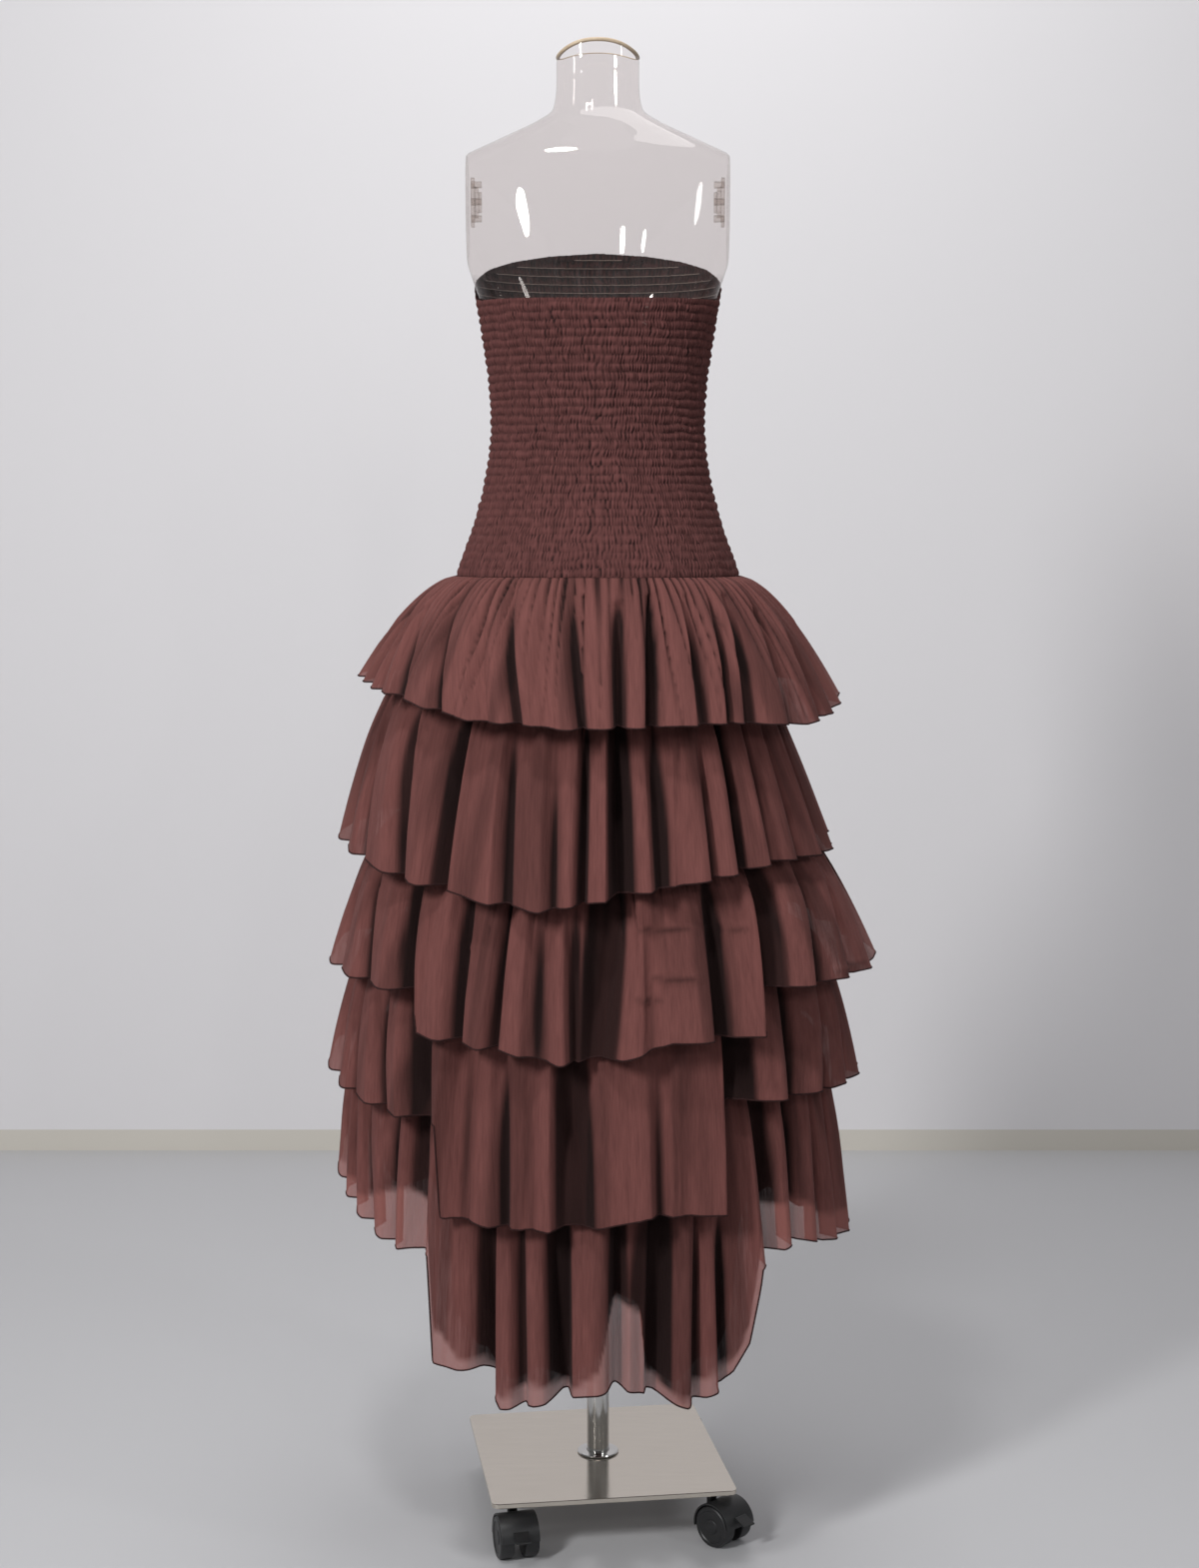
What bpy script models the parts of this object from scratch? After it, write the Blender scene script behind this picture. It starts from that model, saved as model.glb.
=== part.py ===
# Tiered midi dress with a shirred strapless bodice, on a clear torso form with a rolling steel stand.
# Metres, +Z up. The origin is on the floor under the pole. The dress's back faces -Y, its front +Y.
# Angles run round the pole: 0 is centre back, 90 the +X side, 180 centre front, 270 or -90 the -X side.

import math
from collections import namedtuple

import bmesh
import bpy
from mathutils import Matrix, Vector

for old in list(bpy.data.objects):
    bpy.data.objects.remove(old)

SEAM = 0.0003
CLOTH = 0.0014

Section = namedtuple("Section", "height half_width back front")
Hem = namedtuple("Hem", "angle height reach flare")
Fold = namedtuple("Fold", "ridge valley")
Place = namedtuple("Place", "name side row trail")

# Materials
MATERIALS = {
    "shirred_voile": ((0.118, 0.051, 0.048), 0.9, 0.0, 1.0),
    "crinkled_voile": ((0.150, 0.062, 0.060), 0.9, 0.0, 1.0),
    "underskirt_voile": ((0.080, 0.034, 0.034), 0.9, 0.0, 1.0),
    "clear_plastic": ((0.86, 0.88, 0.90), 0.08, 0.0, 0.25),
    "chrome": ((0.72, 0.72, 0.73), 0.12, 1.0, 1.0),
    "polished_steel": ((0.55, 0.53, 0.50), 0.3, 1.0, 1.0),
    "zinc": ((0.50, 0.50, 0.50), 0.4, 1.0, 1.0),
    "black_nylon": ((0.016, 0.016, 0.017), 0.45, 0.0, 1.0),
}


def material_called(name):
    made = bpy.data.materials.get(name)
    if made:
        return made
    colour, roughness, metallic, alpha = MATERIALS[name]
    made = bpy.data.materials.new(name)
    made.use_nodes = True
    shader = made.node_tree.nodes["Principled BSDF"]
    shader.inputs["Base Color"].default_value = (*colour, 1.0)
    shader.inputs["Roughness"].default_value = roughness
    shader.inputs["Metallic"].default_value = metallic
    shader.inputs["Alpha"].default_value = alpha
    return made


def add_node(name, bm, material, smooth=True):
    bmesh.ops.recalc_face_normals(bm, faces=bm.faces)
    if bm.calc_volume(signed=True) < 0:
        bmesh.ops.reverse_faces(bm, faces=bm.faces)
    mesh = bpy.data.meshes.new(name)
    bm.to_mesh(mesh)
    bm.free()
    if smooth:
        mesh.shade_smooth()
    mesh.materials.append(material_called(material))
    node = bpy.data.objects.new(name, mesh)
    bpy.context.scene.collection.objects.link(node)
    return node


def between(rows, column, at, value):
    """The value at a place, straight between the rows of a table sorted by one of its columns."""
    if at <= getattr(rows[0], column):
        return getattr(rows[0], value)
    for low, high in zip(rows, rows[1:]):
        start, end = getattr(low, column), getattr(high, column)
        if at <= end:
            share = (at - start) / (end - start)
            return getattr(low, value) * (1 - share) + getattr(high, value) * share
    return getattr(rows[-1], value)


def zip_edges(bm, first, second):
    """Triangles between two runs of points that start and end side by side."""
    a = b = 0
    while a < len(first) - 1 or b < len(second) - 1:
        ahead = (a + 1) / len(first) <= (b + 1) / len(second)
        if b == len(second) - 1 or (a < len(first) - 1 and ahead):
            bm.faces.new((first[a], first[a + 1], second[b]))
            a += 1
        else:
            bm.faces.new((first[a], second[b + 1], second[b]))
            b += 1


def wall_of(outer, inner, closed):
    """A thin wall between two grids of points. The rows run round, and closed joins their ends."""
    bm = bmesh.new()
    skins = [[[bm.verts.new(point) for point in row] for row in grid] for grid in (outer, inner)]
    for skin in skins:
        for low, high in zip(skin, skin[1:]):
            for j in range(len(low) - (not closed)):
                k = (j + 1) % len(low)
                bm.faces.new((low[j], low[k], high[k], high[j]))
    for rim in (0, -1):
        out, back = skins[0][rim], skins[1][rim]
        for j in range(len(out) - (not closed)):
            k = (j + 1) % len(out)
            bm.faces.new((out[j], out[k], back[k], back[j]))
    if not closed:
        for end in (0, -1):
            zip_edges(bm, [row[end] for row in skins[0]], [row[end] for row in skins[1]])
    return bm


def inside_of(grid, thickness):
    """The grid moved in by the wall's thickness along its own normals, toward the pole."""
    moved = []
    for i, row in enumerate(grid):
        new_row = []
        for j, point in enumerate(row):
            along = grid[min(i + 1, len(grid) - 1)][j] - grid[max(i - 1, 0)][j]
            across = row[min(j + 1, len(row) - 1)] - row[max(j - 1, 0)]
            normal = across.cross(along).normalized()
            if normal.x * point.x + normal.y * point.y < 0:
                normal.negate()
            new_row.append(point - normal * thickness)
        moved.append(new_row)
    return moved


def trim_sides(grid, face):
    """Puts a half wall's two side edges half a seam gap to its own side of the side seams."""
    for row in grid:
        row[0].y = row[-1].y = face * SEAM / 2


# Torso form. Both it and the bodice are made of these cross sections, from the base up to the neck.
BODY = (
    Section(1.050, 0.1690, 0.119, 0.110),
    Section(1.110, 0.1745, 0.126, 0.112),
    Section(1.174, 0.1685, 0.124, 0.109),
    Section(1.231, 0.1485, 0.108, 0.103),
    Section(1.285, 0.1335, 0.093, 0.098),
    Section(1.345, 0.1245, 0.084, 0.094),
    Section(1.400, 0.1265, 0.085, 0.101),
    Section(1.445, 0.1325, 0.092, 0.114),
    Section(1.500, 0.1415, 0.099, 0.125),
    Section(1.555, 0.1590, 0.102, 0.121),
    Section(1.620, 0.1700, 0.098, 0.102),
    Section(1.668, 0.1660, 0.085, 0.076),
    Section(1.690, 0.1240, 0.074, 0.061),
    Section(1.712, 0.0760, 0.063, 0.052),
    Section(1.728, 0.0540, 0.052, 0.046),
    Section(1.789, 0.0490, 0.044, 0.044),
)
BODY_COLUMNS = 20
BODY_SQUARENESS = 2.3
ARM_CUT = 0.1565
ARM_CUT_LOWEST = 1.5
NECK_RISE = 0.014
FORM_WALL = 0.003
FORM_TO_CLOTH = 0.0012


def body_point(height, angle, out):
    """A point on the torso at a height and angle, moved out by a distance."""
    turn = math.radians(angle)
    side, fore = math.sin(turn), -math.cos(turn)
    power = 2 / BODY_SQUARENESS
    half_width = between(BODY, "height", height, "half_width") + out
    depth = between(BODY, "height", height, "back" if fore < 0 else "front") + out
    x = math.copysign(abs(side) ** power, side) * half_width
    if height > ARM_CUT_LOWEST:
        x = max(-ARM_CUT - out, min(ARM_CUT + out, x))
    y = math.copysign(abs(fore) ** power, fore) * depth
    return Vector((x, y, height))


BODY_ANGLES = [360 * column / BODY_COLUMNS - 90 for column in range(BODY_COLUMNS)]


def form_ring(section, out):
    """One ring of the torso. The neck is cut as a saddle, lowest at the sides."""
    ring = [body_point(section.height, angle, out) for angle in BODY_ANGLES]
    if section is BODY[-1]:
        for point, angle in zip(ring, BODY_ANGLES):
            point.z += NECK_RISE * math.cos(math.radians(angle)) ** 2
    return ring


form_outer = [form_ring(section, 0) for section in BODY]
form_inner = [form_ring(section, -FORM_WALL) for section in BODY]
add_node("form_shell", wall_of(form_outer, form_inner, True), "clear_plastic")

# Base of the form: a plate under the shell with a collar that takes the pole.
POLE_RADIUS = 0.014
POLE_WALL = 0.0015
BASE_PLATE_THICKNESS = 0.004
COLLAR_RADIUS = 0.020
COLLAR_DEPTH = 0.040
COLLAR_SIDES = 20


def lathe(name, profile, sides, material, at=(0, 0, 0)):
    """A turned piece from (radius, height) points round its cross section, closed at the axis or a ring."""
    bm = bmesh.new()
    rings = []
    for radius, height in profile:
        if radius == 0:
            rings.append([bm.verts.new((0, 0, height))])
            continue
        ring = []
        for side in range(sides):
            turn = math.tau * (side + 0.5) / sides
            ring.append(bm.verts.new((radius * math.cos(turn), radius * math.sin(turn), height)))
        rings.append(ring)
    is_ring = all(len(ring) > 1 for ring in rings)
    pairs = list(zip(rings, rings[1:])) + ([(rings[-1], rings[0])] if is_ring else [])
    for low, high in pairs:
        for j in range(sides):
            k = (j + 1) % sides
            corners = [low[j % len(low)], low[k % len(low)], high[k % len(high)], high[j % len(high)]]
            bm.faces.new(list(dict.fromkeys(corners)))
    node = add_node(name, bm, material)
    node.location = at
    return node


base_top = BODY[0].height - SEAM
base_ring = form_ring(BODY[0], 0)
bm = bmesh.new()
top = [bm.verts.new((point.x, point.y, base_top)) for point in base_ring]
bottom = [bm.verts.new((point.x, point.y, base_top - BASE_PLATE_THICKNESS)) for point in base_ring]
bm.faces.new(top)
bm.faces.new(bottom)
for j in range(BODY_COLUMNS):
    k = (j + 1) % BODY_COLUMNS
    bm.faces.new((top[j], top[k], bottom[k], bottom[j]))
add_node("form_base", bm, "clear_plastic", smooth=False)

pole_top = base_top - BASE_PLATE_THICKNESS - SEAM
collar_inner = POLE_RADIUS + SEAM
lathe(
    "pole_collar",
    (
        (collar_inner, pole_top - COLLAR_DEPTH),
        (COLLAR_RADIUS, pole_top - COLLAR_DEPTH),
        (COLLAR_RADIUS, pole_top),
        (collar_inner, pole_top),
    ),
    COLLAR_SIDES,
    "chrome",
)

# Arm fittings: an upright moulded bracket inside each flat arm face, a plate with a raised rib.
FITTING_HEIGHT = 1.620
FITTING_GAP = 0.0014
FITTING_OUTLINE = (
    (-0.004, -0.029), (0.004, -0.029), (0.009, -0.018), (0.009, 0.020),
    (0.005, 0.029), (-0.005, 0.029), (-0.009, 0.020), (-0.009, -0.018),
)
FITTING_PLATE = 0.004
FITTING_RIB = 0.013
RIB_SHARE = 0.62
for side, name in ((-1, "arm_fitting_left"), (1, "arm_fitting_right")):
    bm = bmesh.new()
    layers = ((0, 1), (FITTING_PLATE, 1), (FITTING_PLATE, RIB_SHARE), (FITTING_RIB, RIB_SHARE))
    rings = []
    for depth, share in layers:
        rings.append([bm.verts.new((-side * depth, y * share, z * share)) for y, z in FITTING_OUTLINE])
    for low, high in zip(rings, rings[1:]):
        for j in range(len(low)):
            k = (j + 1) % len(low)
            bm.faces.new((low[j], low[k], high[k], high[j]))
    bm.faces.new(rings[0])
    bm.faces.new(rings[-1])
    fitting = add_node(name, bm, "clear_plastic", smooth=False)
    fitting.location = (side * (ARM_CUT - FORM_WALL - FITTING_GAP), 0, FITTING_HEIGHT)

# Shirred bodice. Every shirring row is a puff between two stitch lines, raised on the outside only.
# The rows run level, and the top edge cuts across them: nearly level at the back, a high arch at the front.
BODICE_BOTTOM = 1.1745
SHIRRING_PITCH = 0.010
STITCH_LINE_WALL = 0.0016
PUFF_WALL = 0.0042
RIM_WALL = 0.0004
LAST_ROW_SHARE = 0.3
Rim = namedtuple("Rim", "angle height")
RIM = (
    Rim(-90, 1.5060),
    Rim(-72, 1.5010),
    Rim(0, 1.4985),
    Rim(72, 1.5010),
    Rim(90, 1.5060),
    Rim(100, 1.5220),
    Rim(108, 1.5320),
    Rim(126, 1.5490),
    Rim(144, 1.5610),
    Rim(162, 1.5690),
    Rim(180, 1.5730),
    Rim(198, 1.5690),
    Rim(216, 1.5610),
    Rim(234, 1.5490),
    Rim(252, 1.5320),
    Rim(260, 1.5220),
    Rim(270, 1.5060),
)


def bodice_levels(highest):
    """Heights and wall thicknesses of the outside: a puff and a stitch line for each row."""
    levels = [(BODICE_BOTTOM, STITCH_LINE_WALL)]
    row_top = BODICE_BOTTOM + SHIRRING_PITCH
    while row_top < highest:
        levels.append((row_top - SHIRRING_PITCH / 2, PUFF_WALL))
        levels.append((row_top, STITCH_LINE_WALL))
        row_top += SHIRRING_PITCH
    return levels


def bodice_column(angle, levels, rim_height):
    """One column of the outside. The levels left above the rim lie across the rim's thickness."""
    kept = [level for level in levels if level[0] < rim_height - SHIRRING_PITCH * LAST_ROW_SHARE]
    left = len(levels) - len(kept)
    column = [body_point(height, angle, FORM_TO_CLOTH + wall) for height, wall in kept]
    for step in range(left + 1):
        wall = STITCH_LINE_WALL + (RIM_WALL - STITCH_LINE_WALL) * step / (left + 1)
        column.append(body_point(rim_height, angle, FORM_TO_CLOTH + wall))
    return column


def lining_column(angle, heights, rim_height):
    """One column of the plain inside, which follows the torso."""
    column = [body_point(height, angle, FORM_TO_CLOTH) for height in heights if height < rim_height - SEAM]
    left = len(heights) - len(column)
    for step in range(left + 1):
        column.append(body_point(rim_height, angle, FORM_TO_CLOTH + RIM_WALL / 2 * step / (left + 1)))
    return column


def bodice_half(first_angle, face):
    columns = BODY_COLUMNS // 2 + 1
    angles = [first_angle + 360 / BODY_COLUMNS * column for column in range(columns)]
    rims = [between(RIM, "angle", angle, "height") for angle in angles]
    levels = bodice_levels(max(rims))
    heights = [BODICE_BOTTOM] + [s.height for s in BODY if BODICE_BOTTOM < s.height < max(rims) - SEAM]
    outer = [bodice_column(angle, levels, rim) for angle, rim in zip(angles, rims)]
    inner = [lining_column(angle, heights, rim) for angle, rim in zip(angles, rims)]
    outer = [list(row) for row in zip(*outer)]
    inner = [list(row) for row in zip(*inner)]
    trim_sides(outer, face)
    trim_sides(inner, face)
    return wall_of(outer, inner, False)


add_node("bodice_back", bodice_half(-90, -1), "shirred_voile")
add_node("bodice_front", bodice_half(90, 1), "shirred_voile")

# Underskirt: the plain foundation that carries the ruffles.
UNDERSKIRT = (
    Section(0.200, 0.272, 0.235, 0.225),
    Section(0.400, 0.268, 0.226, 0.216),
    Section(0.550, 0.257, 0.212, 0.203),
    Section(0.700, 0.243, 0.196, 0.188),
    Section(0.850, 0.225, 0.178, 0.169),
    Section(0.980, 0.206, 0.160, 0.150),
    Section(1.100, 0.1850, 0.139, 0.125),
    Section(1.1742, 0.1709, 0.1264, 0.1114),
)
UNDERSKIRT_COLUMNS = 16
UNDERSKIRT_BANDS = 5
UNDERSKIRT_WALL = 0.0012
UNDERSKIRT_ABOVE_HEM = 0.048
SEAM_HEIGHT = UNDERSKIRT[-1].height
OVAL_BELOW = 0.25


def underskirt_point(height, angle, out):
    """A point on the underskirt's outside, moved out: the torso's section at the top, an oval below."""
    turn = math.radians(angle)
    side, fore = math.sin(turn), -math.cos(turn)
    oval_share = min(max((SEAM_HEIGHT - height) / OVAL_BELOW, 0), 1)
    power = 2 / (BODY_SQUARENESS + (2 - BODY_SQUARENESS) * oval_share)
    half_width = between(UNDERSKIRT, "height", height, "half_width") + out
    depth = between(UNDERSKIRT, "height", height, "back" if fore < 0 else "front") + out
    x = math.copysign(abs(side) ** power, side) * half_width
    y = math.copysign(abs(fore) ** power, fore) * depth
    return Vector((x, y, height))


# Ruffles
# Each has its seam height at centre back, sides and centre front, its depth-to-width ratio, its hem round
# the body and its largest folds. Flare is the power of the outward curve: small values stand off at once.
# The dip is the power that keeps a seam level at the sides and lowers it near centre back.
RUFFLE_COLUMNS = "name seam_back seam_side seam_front dip depth_ratio hem back_folds front_folds"
Ruffle = namedtuple("Ruffle", RUFFLE_COLUMNS)

LEVELS = (0.0, 0.08, 0.27, 0.58, 1.0)

TIER_1_HEM = (
    Hem(-90, 1.057, 0.288, 0.65),
    Hem(-56, 1.036, 0.288, 0.65),
    Hem(-30, 1.014, 0.290, 0.70),
    Hem(-5, 1.005, 0.290, 0.75),
    Hem(32, 1.010, 0.292, 0.70),
    Hem(58, 1.003, 0.294, 0.65),
    Hem(90, 1.031, 0.296, 0.65),
    Hem(135, 1.045, 0.285, 0.70),
    Hem(180, 1.052, 0.275, 0.75),
    Hem(225, 1.050, 0.282, 0.70),
    Hem(270, 1.057, 0.288, 0.65),
)
TIER_2_HEM = (
    Hem(-90, 0.863, 0.315, 0.42),
    Hem(-54, 0.832, 0.310, 0.50),
    Hem(-40, 0.820, 0.306, 0.60),
    Hem(-13, 0.799, 0.300, 0.70),
    Hem(20, 0.829, 0.300, 0.75),
    Hem(45, 0.846, 0.290, 0.85),
    Hem(90, 0.845, 0.288, 0.90),
    Hem(135, 0.875, 0.285, 0.75),
    Hem(180, 0.892, 0.285, 0.70),
    Hem(225, 0.880, 0.298, 0.55),
    Hem(270, 0.863, 0.315, 0.42),
)
TIER_3_HEM = (
    Hem(-90, 0.709, 0.327, 0.48),
    Hem(-44, 0.697, 0.326, 0.55),
    Hem(-41, 0.651, 0.325, 0.55),
    Hem(-24, 0.643, 0.324, 0.60),
    Hem(-8, 0.628, 0.324, 0.65),
    Hem(5, 0.632, 0.325, 0.65),
    Hem(15, 0.652, 0.328, 0.62),
    Hem(38, 0.654, 0.335, 0.60),
    Hem(43, 0.704, 0.340, 0.58),
    Hem(90, 0.710, 0.344, 0.66),
    Hem(135, 0.750, 0.325, 0.64),
    Hem(180, 0.762, 0.310, 0.60),
    Hem(225, 0.745, 0.316, 0.55),
    Hem(270, 0.709, 0.327, 0.48),
)
TIER_4_HEM = (
    Hem(-90, 0.583, 0.331, 0.33),
    Hem(-67, 0.563, 0.327, 0.40),
    Hem(-38, 0.547, 0.324, 0.50),
    Hem(-36, 0.442, 0.322, 0.55),
    Hem(-17, 0.435, 0.320, 0.60),
    Hem(0, 0.438, 0.320, 0.62),
    Hem(10, 0.452, 0.320, 0.60),
    Hem(29, 0.450, 0.322, 0.58),
    Hem(33, 0.575, 0.322, 0.52),
    Hem(90, 0.569, 0.323, 0.45),
    Hem(135, 0.620, 0.315, 0.50),
    Hem(180, 0.640, 0.308, 0.52),
    Hem(225, 0.625, 0.316, 0.42),
    Hem(270, 0.583, 0.331, 0.33),
)
TIER_5_HEM = (
    Hem(-90, 0.458, 0.319, 0.18),
    Hem(-63, 0.412, 0.318, 0.30),
    Hem(-52, 0.394, 0.317, 0.40),
    Hem(-40, 0.387, 0.316, 0.50),
    Hem(-38, 0.263, 0.316, 0.50),
    Hem(-27, 0.264, 0.315, 0.60),
    Hem(-21, 0.222, 0.315, 0.62),
    Hem(-10, 0.234, 0.314, 0.65),
    Hem(3, 0.248, 0.314, 0.65),
    Hem(19, 0.226, 0.314, 0.62),
    Hem(29, 0.242, 0.314, 0.60),
    Hem(34, 0.291, 0.314, 0.58),
    Hem(37, 0.376, 0.314, 0.56),
    Hem(48, 0.400, 0.314, 0.55),
    Hem(60, 0.384, 0.314, 0.52),
    Hem(90, 0.369, 0.315, 0.50),
    Hem(135, 0.460, 0.310, 0.45),
    Hem(180, 0.510, 0.306, 0.45),
    Hem(225, 0.490, 0.312, 0.32),
    Hem(270, 0.458, 0.319, 0.18),
)

TIER_1_BACK = (
    Fold(-90, 0.018), Fold(-71, 0.024), Fold(-56, 0.020), Fold(-43, 0.022), Fold(-32, 0.018),
    Fold(-21, 0.020), Fold(-11, 0.024), Fold(-1, 0.026), Fold(9, 0.030), Fold(20, 0.020),
    Fold(33, 0.026), Fold(47, 0.022), Fold(64, 0.018), Fold(90, 0.0),
)
TIER_2_BACK = (
    Fold(-90, 0.022), Fold(-64, 0.024), Fold(-50, 0.026), Fold(-38, 0.018), Fold(-27, 0.020),
    Fold(-16, 0.018), Fold(-8, 0.016), Fold(-1, 0.036), Fold(10, 0.022), Fold(20, 0.018),
    Fold(31, 0.022), Fold(42, 0.028), Fold(60, 0.022), Fold(90, 0.0),
)
TIER_3_BACK = (
    Fold(-90, 0.020), Fold(-68, 0.020), Fold(-51, 0.030), Fold(-37, 0.020), Fold(-27, 0.022),
    Fold(-18, 0.018), Fold(-10, 0.018), Fold(-2, 0.034), Fold(9, 0.018), Fold(18, 0.020),
    Fold(28, 0.036), Fold(46, 0.024), Fold(64, 0.020), Fold(90, 0.0),
)
TIER_4_BACK = (
    Fold(-90, 0.018), Fold(-68, 0.018), Fold(-52, 0.032), Fold(-34, 0.020), Fold(-24, 0.016),
    Fold(-13, 0.034), Fold(3, 0.018), Fold(13, 0.016), Fold(22, 0.020), Fold(30, 0.030),
    Fold(46, 0.022), Fold(63, 0.020), Fold(90, 0.0),
)
TIER_5_BACK = (
    Fold(-90, 0.016), Fold(-66, 0.020), Fold(-50, 0.020), Fold(-35, 0.022), Fold(-20, 0.018),
    Fold(-11, 0.026), Fold(-3, 0.026), Fold(9, 0.024), Fold(20, 0.018), Fold(32, 0.028),
    Fold(47, 0.024), Fold(63, 0.020), Fold(90, 0.0),
)
FRONT_FIRST, FRONT_LAST = 90, 270
FRONT_DEPTH = 0.021
FRONT_SIDE_DEPTH = 0.013
FRONT_DEPTH_SPREAD = 0.005
FRONT_SPACING_SPREAD = 0.24


def front_folds(count, shift):
    """Folds of the hidden front: like the back's, with their own uneven spacing and depth."""
    folds = [Fold(FRONT_FIRST, FRONT_SIDE_DEPTH)]
    for fold in range(1, count):
        place = (fold + FRONT_SPACING_SPREAD * math.sin(2.3 * fold + shift)) / count
        depth = FRONT_DEPTH + FRONT_DEPTH_SPREAD * math.sin(1.7 * fold + 2 * shift)
        if fold == count - 1:
            depth = FRONT_SIDE_DEPTH
        folds.append(Fold(FRONT_FIRST + (FRONT_LAST - FRONT_FIRST) * place, depth))
    return folds + [Fold(FRONT_LAST, 0)]


RUFFLES = (
    Ruffle("tier_1", 1.174, 1.174, 1.174, 1.6, 0.83, TIER_1_HEM, TIER_1_BACK, front_folds(10, 0.3)),
    Ruffle("tier_2", 1.045, 1.078, 1.080, 1.6, 0.86, TIER_2_HEM, TIER_2_BACK, front_folds(10, 1.1)),
    Ruffle("tier_3", 0.845, 0.892, 0.925, 1.6, 0.86, TIER_3_HEM, TIER_3_BACK, front_folds(10, 2.0)),
    Ruffle("tier_4", 0.700, 0.750, 0.790, 3.0, 0.89, TIER_4_HEM, TIER_4_BACK, front_folds(10, 2.9)),
    Ruffle("tier_5", 0.530, 0.625, 0.672, 5.0, 0.90, TIER_5_HEM, TIER_5_BACK, front_folds(10, 3.8)),
)
STEPS_PER_FOLD = 4
VALLEY_LIFT = 0.004
FOLD_GROWTH = 1.1


def seam_height(ruffle, angle):
    fore = math.cos(math.radians(angle))
    end = ruffle.seam_back if fore > 0 else ruffle.seam_front
    return ruffle.seam_side + (end - ruffle.seam_side) * abs(fore) ** ruffle.dip


def ruffle_point(ruffle, angle, level, valley):
    """A point of the ruffle's outside. The level runs from the seam at 0 to the hem at 1. Valley is how
    far the fold lies behind its ridges here."""
    seam = underskirt_point(seam_height(ruffle, angle), angle, SEAM + CLOTH)
    turn = math.radians(angle)
    reach = between(ruffle.hem, "angle", angle, "reach")
    hem_height = between(ruffle.hem, "angle", angle, "height")
    flare = between(ruffle.hem, "angle", angle, "flare")
    hem = Vector((reach * math.sin(turn), -reach * ruffle.depth_ratio * math.cos(turn), hem_height))
    outward = level**flare
    x = seam.x + (hem.x - seam.x) * outward
    y = seam.y + (hem.y - seam.y) * outward
    inward = 1 - valley * level**FOLD_GROWTH / math.hypot(x, y)
    lift = VALLEY_LIFT * level * valley / FRONT_DEPTH
    return Vector((x * inward, y * inward, seam.z + (hem.z - seam.z) * level + lift))


def ruffle_columns(folds):
    """The angle of each column and how far it lies behind the ridges, four columns to a fold."""
    columns = []
    for fold, following in zip(folds, folds[1:]):
        for step in range(STEPS_PER_FOLD):
            share = step / STEPS_PER_FOLD
            angle = fold.ridge + (following.ridge - fold.ridge) * share
            columns.append((angle, fold.valley * (1 - math.cos(math.tau * share)) / 2))
    columns.append((folds[-1].ridge, 0))
    return columns


def ruffle_half(ruffle, folds, face):
    columns = ruffle_columns(folds)
    outer = [[ruffle_point(ruffle, angle, level, valley) for angle, valley in columns] for level in LEVELS]
    inner = inside_of(outer, CLOTH)
    trim_sides(outer, face)
    trim_sides(inner, face)
    return wall_of(outer, inner, False)


def underskirt_half(first_angle, face):
    """The underskirt's hem runs a hand's width above the lowest ruffle's hem."""
    angles = [first_angle + 180 / UNDERSKIRT_COLUMNS * column for column in range(UNDERSKIRT_COLUMNS + 1)]
    outer = []
    for band in range(UNDERSKIRT_BANDS + 1):
        row = []
        for angle in angles:
            hem = between(TIER_5_HEM, "angle", angle, "height") + UNDERSKIRT_ABOVE_HEM
            height = SEAM_HEIGHT + (hem - SEAM_HEIGHT) * band / UNDERSKIRT_BANDS
            row.append(underskirt_point(height, angle, 0))
        outer.append(row)
    inner = inside_of(outer, UNDERSKIRT_WALL)
    trim_sides(outer, face)
    trim_sides(inner, face)
    return wall_of(outer, inner, False)


add_node("underskirt_back", underskirt_half(-90, -1), "underskirt_voile")
add_node("underskirt_front", underskirt_half(90, 1), "underskirt_voile")
for ruffle in RUFFLES:
    add_node(ruffle.name + "_back", ruffle_half(ruffle, ruffle.back_folds, -1), "crinkled_voile")
    add_node(ruffle.name + "_front", ruffle_half(ruffle, ruffle.front_folds, 1), "crinkled_voile")

# Stand: a square steel plate, turned a little as it stands, a flange and a tube pole.
PLATE_SIDE = 0.300
PLATE_THICKNESS = 0.006
PLATE_CORNER = 0.010
PLATE_BOTTOM = 0.062
PLATE_TOP = PLATE_BOTTOM + PLATE_THICKNESS
PLATE_TURN = 8.4
PLATE_CORNER_STEPS = 4
FLANGE_RADIUS = 0.026
FLANGE_THICKNESS = 0.004
POLE_SIDES = 20

bm = bmesh.new()
rim = []
for corner in range(4):
    middle = PLATE_SIDE / 2 - PLATE_CORNER
    across = math.radians(90 * corner + 45)
    centre = Vector((math.cos(across), math.sin(across), 0)) * middle * math.sqrt(2)
    for step in range(PLATE_CORNER_STEPS + 1):
        turn = math.radians(90 * corner + 90 * step / PLATE_CORNER_STEPS)
        rim.append(centre + Vector((math.cos(turn), math.sin(turn), 0)) * PLATE_CORNER)
lower = [bm.verts.new((point.x, point.y, PLATE_BOTTOM)) for point in rim]
upper = [bm.verts.new((point.x, point.y, PLATE_TOP)) for point in rim]
bm.faces.new(lower)
bm.faces.new(upper)
for j in range(len(rim)):
    k = (j + 1) % len(rim)
    bm.faces.new((lower[j], lower[k], upper[k], upper[j]))
plate = add_node("base_plate", bm, "polished_steel", smooth=False)
plate.rotation_euler.z = math.radians(PLATE_TURN)

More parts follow.
